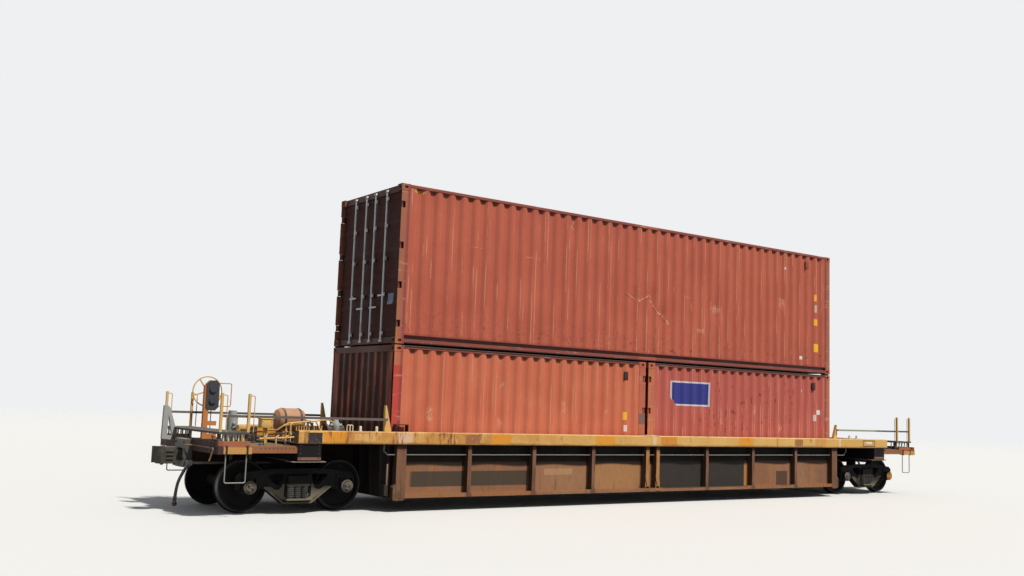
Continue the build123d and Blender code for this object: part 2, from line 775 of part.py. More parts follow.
def box_posts(name, box, twin):
    # corner posts with a casting at both ends; the door posts are notched for the hinges
    x0, way, length, height, base = box
    with BuildPart() as posts:
        for door_end in (True, False):
            face = x0 if door_end else x0 + way * length
            turn = way if door_end else -way
            top = base + height
            for low, shut, deep, play in (
                (base, base, lock_deep, lock_play),
                (top - cast_z, top, -lock_deep, lock_play if twin else 0),
            ):
                mid = low + cast_z / 2
                with Locations((face + turn * cast_x / 2, -half_w + cast_y / 2, mid)):
                    Box(cast_x, cast_y, cast_z)
                with BuildSketch(Plane.XZ.offset(half_w)):
                    with Locations((face + turn * cast_x / 2, mid)):
                        SlotOverall(79, hole_w)
                extrude(amount=-casting_wall, mode=Mode.SUBTRACT)
                with BuildSketch(Plane.YZ.offset(face)):
                    with Locations((-half_w + cast_y / 2, mid)):
                        SlotOverall(79, hole_w)
                extrude(amount=turn * casting_wall, mode=Mode.SUBTRACT)
                with BuildSketch(Plane.XY.offset(shut)):
                    with Locations((face + turn * lock_x, -lock_y)):
                        SlotOverall(lock_l + play, lock_w + play)
                extrude(amount=deep, mode=Mode.SUBTRACT)
            with BuildSketch(Plane.XY.offset(base + cast_z)):
                with BuildLine():
                    Polyline(
                        (face + turn * cast_x, -skin_y + post_y),
                        (face + turn * cast_x, -skin_y),
                        (face + turn * inset, -skin_y),
                        (face + turn * inset, -skin_y + 8),
                        (face + turn * door_edge, -skin_y + 8),
                        (face + turn * door_edge, -skin_y + post_y),
                        close=True,
                    )
                make_face()
            extrude(amount=height - 2 * cast_z)
        notch = lug_h + 2 * frame_gap
        for share in lug_places:
            z = base + cast_z + share * (height - 2 * cast_z)
            with Locations((x0 + way * 40, -skin_y + 30, z)):
                Box(90, 90, notch, mode=Mode.SUBTRACT)
            for side in (-1, 1):
                with Locations((x0 + way * 35, -half_w + 19, z + side * (notch + ear_h) / 2)):
                    Box(50, 28, ear_h)
            with Locations((x0 + way * hinge_x, -hinge_y, z)):
                Cylinder(hinge_pin_r, notch + 2 * ear_h)
        mirror(about=Plane.XZ)
        if twin:
            mirror(about=Plane.YZ)
    posts.part.label = name
    export_step(posts.part, f"parts/{name}.step")


def box_rails(name, box, twin):
    # side rails between the castings, and the headers and sills of both ends
    x0, way, length, height, base = box
    span = length - 2 * cast_x
    low, high = base + height - cast_z, base + height - inset
    with BuildPart() as rails:
        with BuildSketch(Plane.YZ.offset(x0 + way * length / 2 - span / 2)):
            with BuildLine():
                Polyline(
                    (-skin_y + 46, base + rail_low),
                    (-skin_y, base + rail_low),
                    (-skin_y, base + 88),
                    (-skin_y + 10, base + 88),
                    (-skin_y + 10, base + rail_low + 10),
                    (-skin_y + 36, base + rail_low + 10),
                    (-skin_y + 36, base + rail_low + rail_h - 8),
                    (-skin_y + 2, base + rail_low + rail_h - 8),
                    (-skin_y + 2, base + rail_low + rail_h),
                    (-skin_y + 46, base + rail_low + rail_h),
                    close=True,
                )
            make_face()
            with Locations((-skin_y + top_rail / 2, base + height - inset - top_rail / 2)):
                RectangleRounded(top_rail, top_rail, 10)
        extrude(amount=span)
        mirror(about=Plane.XZ)
        for x_in, x_out, sill_x, door_end in (
            (door_edge, cast_x, door_x + door_t, True),
            (inset, 63, 63, False),
        ):
            face = x0 if door_end else x0 + way * length
            turn = way if door_end else -way
            with BuildSketch(Plane.XZ.offset(cast_y - half_w)):
                with BuildLine():
                    Polyline(
                        (face + turn * x_in, low),
                        (face + turn * x_in, high),
                        (face + turn * cast_x, high),
                        (face + turn * cast_x, high - 14),
                        (face + turn * (x_out - 1), high - 14),
                        (face + turn * (x_out - 1), low),
                        close=True,
                    )
                make_face()
            extrude(amount=box_w - 2 * cast_y)
            with Locations((face + turn * (x_in + sill_x) / 2, 0, base + (rail_low + cast_z) / 2)):
                Box(sill_x - x_in, box_w - 2 * cast_y, cast_z - rail_low)
        if twin:
            mirror(about=Plane.YZ)
    rails.part.label = name
    export_step(rails.part, f"parts/{name}.step")


def wave(start, count, pitch, flat, slope, depth):
    # corners of one corrugated line: distance along it and depth below its outer face
    corners = []
    for i in range(count):
        s = start + i * pitch
        corners += [(s, 0), (s + flat, 0), (s + flat + slope, depth), (s + pitch - slope, depth)]
    return corners + [(start + count * pitch, 0), (start + count * pitch + flat, 0)]


end_pitch = 250
end_flat = 70
end_slope = 35
end_depth = 42
end_x = 8


def box_walls(name, box, twin):
    # corrugated side walls and the corrugated blind end
    x0, way, length, height, base = box
    low = base + rail_low + rail_h
    high = base + height - inset - top_rail
    span = length - 2 * cast_x
    with BuildPart() as walls:
        count = int((span - wave_flat - 2) // wave_pitch)
        margin = (span - count * wave_pitch - wave_flat) / 2
        line = [(0, 0)] + wave(margin, count, wave_pitch, wave_flat, wave_slope, wave_depth) + [(span, 0)]
        with BuildSketch(Plane.XY.offset(low)):
            with BuildLine():
                face = [(x0 + way * (cast_x + s), -skin_y + 6 + d) for s, d in line]
                back = [(x, y + sheet) for x, y in reversed(face)]
                Polyline(*face, *back, close=True)
            make_face()
        extrude(amount=high - low)
        mirror(about=Plane.XZ)
        half = skin_y - post_y
        count = int((2 * half - end_flat - 2) // end_pitch)
        margin = (2 * half - count * end_pitch - end_flat) / 2
        line = [(0, 0)] + wave(margin, count, end_pitch, end_flat, end_slope, end_depth) + [(2 * half, 0)]
        far = x0 + way * (length - end_x)
        with BuildSketch(Plane.XY.offset(base + cast_z)):
            with BuildLine():
                face = [(far - way * d, s - half) for s, d in line]
                back = [(x - way * sheet, y) for x, y in reversed(face)]
                Polyline(*face, *back, close=True)
            make_face()
        extrude(amount=height - 2 * cast_z)
        if twin:
            mirror(about=Plane.YZ)
    walls.part.label = name
    export_step(walls.part, f"parts/{name}.step")


roof_pitch = 418
roof_flat = 150
roof_slope = 30
roof_depth = 20


def box_roof(name, box, twin):
    # roof sheet with shallow cross corrugations between the top rails
    x0, way, length, height, base = box
    span = length - 2 * cast_x
    with BuildPart() as roof:
        count = int((span - roof_flat - 2) // roof_pitch)
        margin = (span - count * roof_pitch - roof_flat) / 2
        line = [(0, 0)] + wave(margin, count, roof_pitch, roof_flat, roof_slope, roof_depth) + [(span, 0)]
        top = base + height - inset - 4
        half = skin_y - top_rail
        with BuildSketch(Plane.XZ.offset(-half)):
            with BuildLine():
                face = [(x0 + way * (cast_x + s), top - d) for s, d in line]
                back = [(x, z - sheet) for x, z in reversed(face)]
                Polyline(*face, *back, close=True)
            make_face()
        extrude(amount=2 * half)
        if twin:
            mirror(about=Plane.YZ)
    roof.part.label = name
    export_step(roof.part, f"parts/{name}.step")


floor_t = 28
member_w = 45


def box_floor(name, box, twin, pitch):
    # plank floor on its cross members, which reach the webs of the side rails
    x0, way, length, height, base = box
    top = base + rail_low + rail_h + 3
    x_in = door_x + door_t + frame_gap
    x_out = length - 63
    with BuildPart() as floor:
        with Locations((x0 + way * (x_in + x_out) / 2, 0, top - floor_t / 2)):
            Box(x_out - x_in, 2 * (skin_y - post_y - 6), floor_t)
        count = int((length - 2 * cast_x - 60) // pitch) + 1
        under = top - floor_t
        with Locations((x0 + way * length / 2, 0, (under + base + 22) / 2)):
            with GridLocations(pitch, 0, count, 1):
                Box(member_w, 2 * (skin_y - 46), under - base - 22)
        if twin:
            mirror(about=Plane.YZ)
    floor.part.label = name
    export_step(floor.part, f"parts/{name}.step")


rod_r = 17
rod_x = 25
rod_y = (180, 620)
door_ribs = 5
rib_depth = 18
handle_z = (690, 900)


def box_doors(name, box, twin, sides):
    # door leaves as thick as the whole door, with lock rods, brackets and hinge lugs
    x0, way, length, height, base = box
    low = base + cast_z + frame_gap
    high = base + height - cast_z - frame_gap
    edge = skin_y - post_y - frame_gap
    with BuildPart() as doors:
        face = [(door_x, high), (door_x, high - 90)]
        field = (high - low - 180) / door_ribs
        for i in range(door_ribs):
            top = high - 90 - i * field
            face += [(door_x + rib_depth, top - 60), (door_x + rib_depth, top - field + 90)]
            face += [(door_x, top - field + 30), (door_x, top - field)]
        face += [(door_x, low), (door_x + door_t, low), (door_x + door_t, high)]
        with BuildSketch(Plane.XZ.offset(frame_gap / 2)):
            with BuildLine():
                Polyline(*[(x0 + way * x, z) for x, z in face], close=True)
            make_face()
        extrude(amount=edge - frame_gap / 2)
        with BuildSketch(Plane.XY.offset(base + 50)):
            with Locations([(x0 + way * rod_x, -y) for y in rod_y]):
                RegularPolygon(rod_r, 8)
        extrude(amount=height - 100)
        keeper_z = [low + share * (high - low) for share in (0.03, 0.3, 0.55, 0.78, 0.97)]
        with Locations([(x0 + way * (rod_x + door_x) / 2, -y, z) for y in rod_y for z in keeper_z]):
            Box(door_x - rod_x + 4, 70, 60)
        with Locations([(x0 + way * rod_x, -y, z) for y in rod_y for z in (base + 62, base + height - 62)]):
            Box(34, 64, 36)
        with Locations([(x0 + way * rod_x, -0.7 * y - 130, base + z) for z, y in zip(handle_z, rod_y)]):
            Box(16, 0.4 * rod_y[1], 30)
        lug_z = [base + cast_z + share * (height - 2 * cast_z) for share in lug_places]
        for z in lug_z:
            with BuildSketch(Plane.XY.offset(z - lug_h / 2)):
                with BuildLine():
                    Polyline(
                        (x0 + way * (hinge_x - 9), -hinge_y + 4),
                        (x0 + way * (hinge_x + 10), -hinge_y - 3),
                        (x0 + way * (door_x + 22), -edge),
                        (x0 + way * door_x, -edge),
                        close=True,
                    )
                make_face()
                with Locations((x0 + way * hinge_x, -hinge_y)):
                    Circle(barrel_r)
                    Circle(hinge_pin_r + run_gap, mode=Mode.SUBTRACT)
            extrude(amount=lug_h)
        if 1 in sides:
            mirror(about=Plane.XZ, mode=Mode.ADD if -1 in sides else Mode.REPLACE)
        if twin:
            mirror(about=Plane.YZ)
    doors.part.label = name
    export_step(doors.part, f"parts/{name}.step")


box_posts("box40_posts", upper, False)
box_rails("box40_rails", upper, False)
box_walls("box40_walls", upper, False)
box_roof("box40_roof", upper, False)
box_floor("box40_floor", upper, False, 590)
box_posts("box20_posts", lower, True)
box_rails("box20_rails", lower, True)
box_walls("box20_walls", lower, True)
box_roof("box20_roofs", lower, True)
box_floor("box20_floors", lower, True, 400)
box_doors("box40_door_near", upper, False, (-1,))
box_doors("box40_door_far", upper, False, (1,))
box_doors("box20_doors", lower, True, (-1, 1))

# Connectors between the two layers, each a plate with a cone into the casting above and below
cone_l = 100
cone_w = 50
cone_h = 24
with BuildPart() as box_connectors:
    with Locations((box40_l / 2 - cast_x / 2, -half_w + cast_y / 2, upper_z - lock_t / 2)):
        Box(150, 110, lock_t)
    for z, lift in ((upper_z, 1), (upper_z - lock_t, -1)):
        with BuildSketch(Plane(origin=(box40_l / 2 - lock_x, -lock_y, z), z_dir=(0, 0, lift))):
            SlotOverall(cone_l, cone_w)
        extrude(amount=cone_h, taper=16)
    mirror(about=Plane.XZ)
    mirror(about=Plane.YZ)
box_connectors.part.label = "box_connectors"
export_step(box_connectors.part, "parts/box_connectors.step")


# Wheelsets: axle, wheels and bearing end caps turned as one. Each row is (y, radius)
hub_in = 655
hub_out = 838
wheel_front = wheel_back + rim_w
cup_in = 915
cup_out = 1090
cap_in = cup_out + swing_gap
cap_out = 1180
cap_r = 106
wheel_rows = (
    (0, 80),
    (hub_in, 95),
    (hub_in, 140),
    (712, 155),
    (732, 345),
    (wheel_back, 360),
    (wheel_back, wheel_r + 18),
    (wheel_back + 12, wheel_r + flange_h),
    (wheel_back + 34, wheel_r + 4),
    (wheel_front, wheel_r - 4),
    (wheel_front, 360),
    (768, 345),
    (752, 155),
    (hub_out, 140),
    (hub_out, 95),
    (cup_in - 10, 92),
    (cup_in - 10, journal_r),
    (cap_in, journal_r),
    (cap_in, cap_r),
    (cap_out - 12, cap_r),
    (cap_out, cap_r - 28),
)
for name, truck, way in (("b1", -1, -1), ("b2", -1, 1), ("a1", 1, -1), ("a2", 1, 1)):
    axle_x = truck * truck_x + way * half_wheelbase
    half = list(wheel_rows[1:])
    with BuildPart() as wheelset:
        with BuildSketch(Plane(origin=(axle_x, 0, axle_z), x_dir=(0, 1, 0), z_dir=(1, 0, 0))):
            with BuildLine():
                Polyline(
                    (-cap_out, 0),
                    *[(-y, r) for y, r in reversed(half)],
                    wheel_rows[0],
                    *half,
                    (cap_out, 0),
                    close=True,
                )
            make_face()
        revolve(axis=Axis((axle_x, 0, axle_z), (0, 1, 0)))
    wheelset.part.label = f"wheelset_{name}"
    export_step(wheelset.part, f"parts/wheelset_{name}.step")

# Trucks: cast side frames, bolster, springs, bearings and brake beams
jaw = 125
jaw_roof = axle_z + 135
seat_top = 250
frame_t = 140
frame_low = 165
frame_top = 735
window_x = 205
window_top = 640
pedestal_in = half_wheelbase - jaw - 40
pedestal_out = half_wheelbase + jaw + 46
leg_low = 395
frame_rows = (
    (250, frame_low),
    (600, 428),
    (pedestal_in, leg_low),
    (half_wheelbase - jaw, leg_low),
    (half_wheelbase - jaw, jaw_roof),
    (half_wheelbase + jaw, jaw_roof),
    (half_wheelbase + jaw, leg_low + 5),
    (pedestal_out, leg_low + 5),
    (pedestal_out, 600),
    (pedestal_out - 50, 665),
    (650, 712),
    (300, frame_top),
)
opening_rows = ((250, 655), (560, 645), (470, 545), (378, 462), (300, 472), (255, 550))
flange_t = 24
flange_w = frame_t + 44
flange_rows = ((600, 428), (250, frame_low), (243, frame_low + flange_t), (586, 428 + flange_t))
bolster_half = 195
bolster_end = 1140
bolster_rows = ((0, 640), (900, 632), (bolster_end, 620), (bolster_end, 455), (835, 455), (600, 390), (0, 390))
spring_r = 58
spring_rows = ((-125, 1084), (0, 1084), (125, 1084), (-125, 915), (0, 915), (125, 915))
shoe_in = 718
shoe_out = 808
beam_x = 350
beam_z = 440
frame_in = journal_y - frame_t / 2
guide_t = 28
for name, cx in (("truck_b", -truck_x), ("truck_a", truck_x)):
    with BuildPart() as frames:
        with BuildSketch(Plane.XZ.offset(journal_y - frame_t / 2)):
            with BuildLine():
                Polyline(
                    *[(cx + x, z) for x, z in frame_rows],
                    *[(cx - x, z) for x, z in reversed(frame_rows)],
                    close=True,
                )
            make_face()
            with Locations((cx, (seat_top + window_top) / 2)):
                RectangleRounded(2 * window_x, window_top - seat_top, 30, mode=Mode.SUBTRACT)
        extrude(amount=frame_t)
        for sx in (-1, 1):
            # triangular opening with rounded corners
            with BuildSketch(Plane.XZ.offset(journal_y - frame_t / 2)) as opening:
                with BuildLine():
                    Polyline(*[(cx + sx * x, z) for x, z in opening_rows], close=True)
                make_face()
                fillet(opening.vertices(), 24)
            extrude(amount=frame_t, mode=Mode.SUBTRACT)
            # pedestal with the jaw for the bearing
            with BuildSketch(Plane.XZ.offset(journal_y - 85)):
                with BuildLine():
                    Polyline(
                        (cx + sx * pedestal_in, leg_low + 5),
                        (cx + sx * (half_wheelbase - jaw), leg_low + 5),
                        (cx + sx * (half_wheelbase - jaw), jaw_roof),
                        (cx + sx * (half_wheelbase + jaw), jaw_roof),
                        (cx + sx * (half_wheelbase + jaw), leg_low + 10),
                        (cx + sx * (pedestal_out - 6), leg_low + 10),
                        (cx + sx * (pedestal_out - 6), 596),
                        (cx + sx * (pedestal_out - 60), 630),
                        (cx + sx * pedestal_in, 640),
                        close=True,
                    )
                make_face()
            extrude(amount=170)
            with Locations((cx + sx * (beam_x - 50), -frame_in + guide_t / 2, beam_z)):
                Box(190, guide_t, 100)
        # the tension member's flange runs down from both pedestals and under the spring seat
        with BuildSketch(Plane.XZ.offset(journal_y - flange_w / 2)):
            with BuildLine():
                Polyline(
                    *[(cx + x, z) for x, z in flange_rows[:2]],
                    *[(cx - x, z) for x, z in reversed(flange_rows[:2])],
                    *[(cx - x, z) for x, z in reversed(flange_rows[2:])],
                    *[(cx + x, z) for x, z in flange_rows[2:]],
                    close=True,
                )
            make_face()
        extrude(amount=flange_w)
        with Locations((cx, -journal_y, seat_top - 14)):
            Box(2 * (window_x + 25), 370, 28)
        mirror(about=Plane.XZ)
    frames.part.label = f"{name}_frames"
    export_step(frames.part, f"parts/{name}_frames.step")

    with BuildPart() as bolster:
        with BuildSketch(Plane.YZ.offset(cx - bolster_half)):
            with BuildLine():
                Polyline(
                    *bolster_rows[1:-1],
                    *[(-y, z) for y, z in reversed(bolster_rows[1:-1])],
                    close=True,
                )
            make_face()
        extrude(amount=2 * bolster_half)
        with Locations((cx, 0, plate_z - 30)):
            Cylinder(bolster_half, 60)
        with Locations([(cx, sy * bearing_y, bearing_z - 30) for sy in (-1, 1)]):
            Box(220, 100, 60)
    bolster.part.label = f"{name}_bolster"
    export_step(bolster.part, f"parts/{name}_bolster.step")

    with BuildPart() as springs:
        for sy in (-1, 1):
            with BuildSketch(Plane.XY.offset(seat_top)):
                with Locations([(cx + x, sy * y) for x, y in spring_rows]):
                    RegularPolygon(spring_r, 12)
            extrude(amount=bolster_rows[3][1] - seat_top)
    springs.part.label = f"{name}_springs"
    export_step(springs.part, f"parts/{name}_springs.step")

    with BuildPart() as bearings:
        for sx in (-1, 1):
            for sy in (-1, 1):
                x, y = cx + sx * half_wheelbase, sy * (cup_in + cup_out) / 2
                with Locations((x, sy * journal_y, (axle_z + 60 + jaw_roof) / 2)):
                    Box(200, 150, jaw_roof - axle_z - 60)
                with Locations(Location((x, y, axle_z), (90, 0, 0))):
                    Cylinder(114, cup_out - cup_in)
                    Cylinder(journal_r + run_gap, cup_out - cup_in + 2, mode=Mode.SUBTRACT)
    bearings.part.label = f"{name}_bearings"
    export_step(bearings.part, f"parts/{name}_bearings.step")

    with BuildPart() as brakes:
        for sx in (-1, 1):
            x = cx + sx * beam_x
            with Locations((x, 0, beam_z)):
                Box(50, 2 * (frame_in - guide_t), 60)
            for sy in (-1, 1):
                with Locations((x + sx * 70, sy * (shoe_in + shoe_out) / 2, 444)):
                    Box(110, shoe_out - shoe_in, 210)
        for sx in (-1, 1):
            with Locations(Location((cx + sx * half_wheelbase, 0, axle_z), (90, 0, 0))):
                Cylinder(wheel_r + swing_gap + 3, 2 * shoe_out + 10, mode=Mode.SUBTRACT)
    brakes.part.label = f"{name}_brake_beams"
    export_step(brakes.part, f"parts/{name}_brake_beams.step")

# Couplers, swinging on a pin in the draft sill. The head's outline is (out, across)
head_x = 9470
head_h = 270
head_rows = (
    (0, -100), (70, -145), (190, -160), (300, -200), (325, -180), (280, -120), (205, -80),
    (195, 5), (235, 45), (300, 20), (325, 50), (318, 110), (270, 150), (170, 162), (70, 145), (0, 100),
)
for end, name in ((-1, "coupler_b"), (1, "coupler_a")):
    with BuildPart() as coupler:
        with Locations((end * (pin_x + head_x) / 2, 0, coupler_z)):
            Box(head_x - pin_x, shank_w, shank_h)
        with Locations((end * pin_x, 0, coupler_z)):
            Cylinder(shank_w / 2, shank_h)
            Cylinder(pin_r + run_gap, shank_h + 2, mode=Mode.SUBTRACT)
        with BuildSketch(Plane.XY.offset(coupler_z - head_h / 2)) as head:
            with BuildLine():
                Polyline(*[(end * (head_x + u), end * v) for u, v in head_rows], close=True)
            make_face()
            fillet(head.vertices(), 9)
        extrude(amount=head_h)
    coupler.part.label = name
    export_step(coupler.part, f"parts/{name}.step")
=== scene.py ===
import json
import math
from functools import partialmethod

import bmesh
import bpy
from mathutils import Matrix, Vector, noise


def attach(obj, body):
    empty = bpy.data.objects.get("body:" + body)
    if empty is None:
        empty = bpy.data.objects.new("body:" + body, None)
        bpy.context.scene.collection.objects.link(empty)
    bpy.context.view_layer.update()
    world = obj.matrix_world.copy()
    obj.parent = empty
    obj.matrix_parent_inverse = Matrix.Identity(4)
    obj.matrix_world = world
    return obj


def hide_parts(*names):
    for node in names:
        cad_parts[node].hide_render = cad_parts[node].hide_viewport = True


# A double-stack well car with its containers: finishes for the frame's solids and the small forms on them.
# X runs along the car with the hand brake end at -X, the photographed side is -Y, Z is up. Metres.
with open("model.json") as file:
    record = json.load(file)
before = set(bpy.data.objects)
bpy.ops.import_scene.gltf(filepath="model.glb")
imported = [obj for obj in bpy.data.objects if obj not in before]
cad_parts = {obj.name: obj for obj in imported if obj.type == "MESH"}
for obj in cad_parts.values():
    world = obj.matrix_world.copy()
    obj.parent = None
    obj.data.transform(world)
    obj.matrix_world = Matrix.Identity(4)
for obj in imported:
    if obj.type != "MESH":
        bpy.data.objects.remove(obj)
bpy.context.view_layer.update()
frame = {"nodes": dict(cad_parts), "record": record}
nodes = frame["nodes"]

# Sizes and directions that finishes and pieces share
ENDS = ((-1, "b"), (1, "a"))
SIDES = (-1, 1)
UP, DOWN, ALONG, NEARWARD = (0, 0, 1), (0, 0, -1), (1, 0, 0), (0, -1, 0)
TRUCK_X, HALF_WHEELBASE, AXLE_Z = 7.727, 0.8635, 0.444
DECK_TOP, FLOOR_TOP, CHORD_TOP = 1.172, 1.126, 1.38
IN_DECK, IN_FLOOR = DECK_TOP - 0.002, FLOOR_TOP - 0.002
TWIN_POST, POST_PITCH = 0.145, 1.47
UPPER_Z, UPPER_TALL, LOWER_Z, LOWER_TALL = 2.935, 2.896, 0.319, 2.591
FOLD_PITCH, FOLD_FLAT, FOLD_SLOPE, FOLD_DEPTH = 0.278, 0.072, 0.068, 0.036


def add_object(name, data):
    made = bpy.data.objects.new(name, data)
    bpy.context.scene.collection.objects.link(made)
    return made


# Camera at the photograph's viewpoint
CAMERA_AT = (-15.049, -17.263, 1.913)
YAW, PITCH, ROLL = (math.radians(a) for a in (35.541, 6.488, 2.019))
LENS = 36.19
ahead = Vector((math.sin(YAW) * math.cos(PITCH), math.cos(YAW) * math.cos(PITCH), math.sin(PITCH)))
level = Vector((math.cos(YAW), -math.sin(YAW), 0))
upright = level.cross(ahead)
right = level * math.cos(ROLL) + upright * math.sin(ROLL)
up = -level * math.sin(ROLL) + upright * math.cos(ROLL)
camera = add_object("camera", bpy.data.cameras.new("camera"))
camera.data.sensor_width = 36
camera.data.lens = LENS
camera.data.clip_end = 1000
camera.matrix_world = Matrix.Translation(CAMERA_AT) @ Matrix((right, up, -ahead)).transposed().to_4x4()
bpy.context.scene.camera = camera


# Materials
def linear(red, green, blue):
    """A colour given as 0 to 255 on screen, in the linear values that shaders take."""
    shares = [c / 255 for c in (red, green, blue)]
    return tuple(s / 12.92 if s <= 0.04045 else ((s + 0.055) / 1.055) ** 2.4 for s in shares) + (1,)


def put(socket, value):
    """Links a socket to a worked-out value, or sets it to a plain one."""
    value = getattr(value, "socket", value)
    if isinstance(value, bpy.types.NodeSocket):
        socket.id_data.links.new(value, socket)
    else:
        socket.default_value = value


def add_node(tree, kind, **inputs):
    """Adds a shader node, with its inputs given by name."""
    node = tree.nodes.new("ShaderNode" + kind)
    for name, value in inputs.items():
        put(node.inputs[name.replace("_", " ")], value)
    return node


class Value:
    """A number or colour that shader nodes work out. Sums with it are worked out by nodes too."""

    def __init__(self, socket):
        self.socket, self.tree = socket, socket.id_data

    def math(self, operation, other=0.0):
        node = add_node(self.tree, "Math")
        node.operation = operation
        put(node.inputs[0], self)
        put(node.inputs[1], other)
        return Value(node.outputs[0])

    __add__ = partialmethod(math, "ADD")
    __sub__ = partialmethod(math, "SUBTRACT")
    __mul__ = partialmethod(math, "MULTIPLY")
    __abs__ = partialmethod(math, "ABSOLUTE")
    # a | b is the larger of the two
    __or__ = partialmethod(math, "MAXIMUM")

    def step(self, low, high, to_low=0.0, to_high=1.0):
        """The smooth share of the way from low to high, clamped."""
        if low > high:
            low, high, to_low, to_high = high, low, to_high, to_low
        node = add_node(self.tree, "MapRange", Value=self, From_Min=low, From_Max=high, To_Min=to_low,
                        To_Max=to_high)
        node.interpolation_type = "SMOOTHSTEP"
        return Value(node.outputs["Result"])

    def inside(self, low, high, soft=0.004):
        """1 between two values, with soft edges."""
        return self.step(low - soft, low + soft) * self.step(high + soft, high - soft)


class Shader:
    """A principled material whose textures are laid out in the frame's own metres."""

    def __init__(self, name, base=(0, 0, 0)):
        self.material = bpy.data.materials.new(name)
        self.material.use_nodes = True
        self.tree = self.material.node_tree
        self.tree.nodes.clear()
        self.surface = add_node(self.tree, "BsdfPrincipled")
        self.output = add_node(self.tree, "OutputMaterial", Surface=self.surface.outputs[0])
        self.where = add_node(self.tree, "TexCoord").outputs["Object"]
        self.x, self.y, self.z = self.parts(self.where)
        # Distances from the middle of the car, and 1 on its photographed side
        self.ax, self.ay, self.near = abs(self.x), abs(self.y), self.y.step(0.0, -0.01)
        self.normal = self.parts(add_node(self.tree, "NewGeometry").outputs["Normal"])
        self.colour, self.metal = linear(*base), 0.0

    def parts(self, direction):
        return [Value(socket) for socket in add_node(self.tree, "SeparateXYZ", Vector=direction).outputs]

    def noise(self, scale, detail, rough, seed, tall=1, long=1):
        """Noise from 0 to 1, drawn out upwards by tall and along the car by long."""
        place = add_node(self.tree, "Mapping", Vector=self.where, Scale=(1 / long, 1, 1 / tall),
                         Location=(seed * 3.1, seed * 1.7, seed * 2.3)).outputs[0]
        node = add_node(self.tree, "TexNoise", Vector=place, Scale=scale, Detail=detail, Roughness=rough)
        return Value(node.outputs["Fac"])

    def mix(self, share, a, b):
        node = add_node(self.tree, "Mix")
        node.data_type = "RGBA"
        for index, value in ((0, share), (6, a), (7, b)):
            put(node.inputs[index], value)
        return Value(node.outputs[2])

    def coat(self, rgb, share):
        """Lays a colour over the present one."""
        self.colour = self.mix(share, self.colour, linear(*rgb))

    def patch(self, left, right, low, high, soft):
        """1 inside a rectangle of a side wall."""
        return self.x.inside(left, right, soft) * self.z.inside(low, high, soft)

    def facing(self, axis, low=0.3, high=0.8):
        """1 where the surface faces along the axis, counted from 1, or against it if negative."""
        value = self.normal[abs(axis) - 1]
        return (value * -1.0 if axis < 0 else value).step(low, high)

    def facing_both(self, axis):
        return self.facing(axis) | self.facing(-axis)

    def finish(self, height=None, depth=0.002, shine=0.3):
        """Hands colour, roughness, metal and relief to the surface."""
        for name, value in (("Base Color", self.colour), ("Specular IOR Level", shine),
                            ("Roughness", self.rough), ("Metallic", self.metal)):
            put(self.surface.inputs[name], value)
        if height:
            relief = add_node(self.tree, "Bump", Strength=1.0, Distance=depth, Height=height)
            put(self.surface.inputs["Normal"], relief.outputs[0])
        return self.material


RUST = (104, 56, 30)
DUST = (150, 130, 104)
# Colour of grime, also used as painted shade under the chord on the posts
GRIME_AND_SHADE = (34, 29, 27)
# Near-black colour of painted shade
PAINTED_SHADE = (16, 15, 15)


def painted(name, base, faded, rust, streak, grime, dust, rough=0.6, marks=None, shine=0.3):
    """Weathered paint on steel: faded patches, run-down streaks, rust freckles, grime and dust."""
    s = Shader(name, base)
    cloud = s.noise(0.9, 5, 0.6, seed=1)
    s.coat(faded, cloud.step(0.35, 0.68))
    s.coat(faded, s.noise(14, 4, 0.6, seed=2, tall=14).step(0.52, 0.75) * streak)
    if marks:
        marks(s)
    s.coat(GRIME_AND_SHADE, s.noise(9, 5, 0.65, seed=5, tall=9).step(0.58, 0.8) * grime)
    rusty = s.noise(17, 8, 0.7, seed=3).step(0.64, 0.7) * s.noise(1.3, 3, 0.5, seed=4).step(0.42, 0.66) * rust
    s.coat(RUST, rusty)
    s.coat(DUST, s.facing(3) * dust)
    height = s.noise(60, 6, 0.6, seed=6) * 0.25 + s.noise(2.2, 3, 0.5, seed=8) * 2.0 + rusty * 0.6
    s.rough = cloud.step(0.3, 0.7, rough - 0.08, rough + 0.12) + rusty * 0.3
    return s.finish(height, 0.0015, shine)


def cast_metal(name, base, dust, dust_share, rough=0.75, marks=None):
    """Dark cast steel with dust on what faces up."""
    s = Shader(name, base)
    cloud = s.noise(4, 6, 0.65, seed=1)
    s.coat([c * 1.5 for c in base], cloud.step(0.35, 0.7))
    s.coat(dust, s.facing(3, 0.05, 0.75) * s.noise(7, 5, 0.6, seed=2).step(0.3, 0.6) * dust_share)
    s.coat((86, 56, 40), s.noise(26, 6, 0.7, seed=5).step(0.6, 0.7) * 0.35)
    s.rough = cloud.step(0.3, 0.7, rough - 0.1, rough + 0.1)
    if marks:
        marks(s)
    return s.finish(s.noise(90, 5, 0.6, seed=3), 0.001, 0.15)


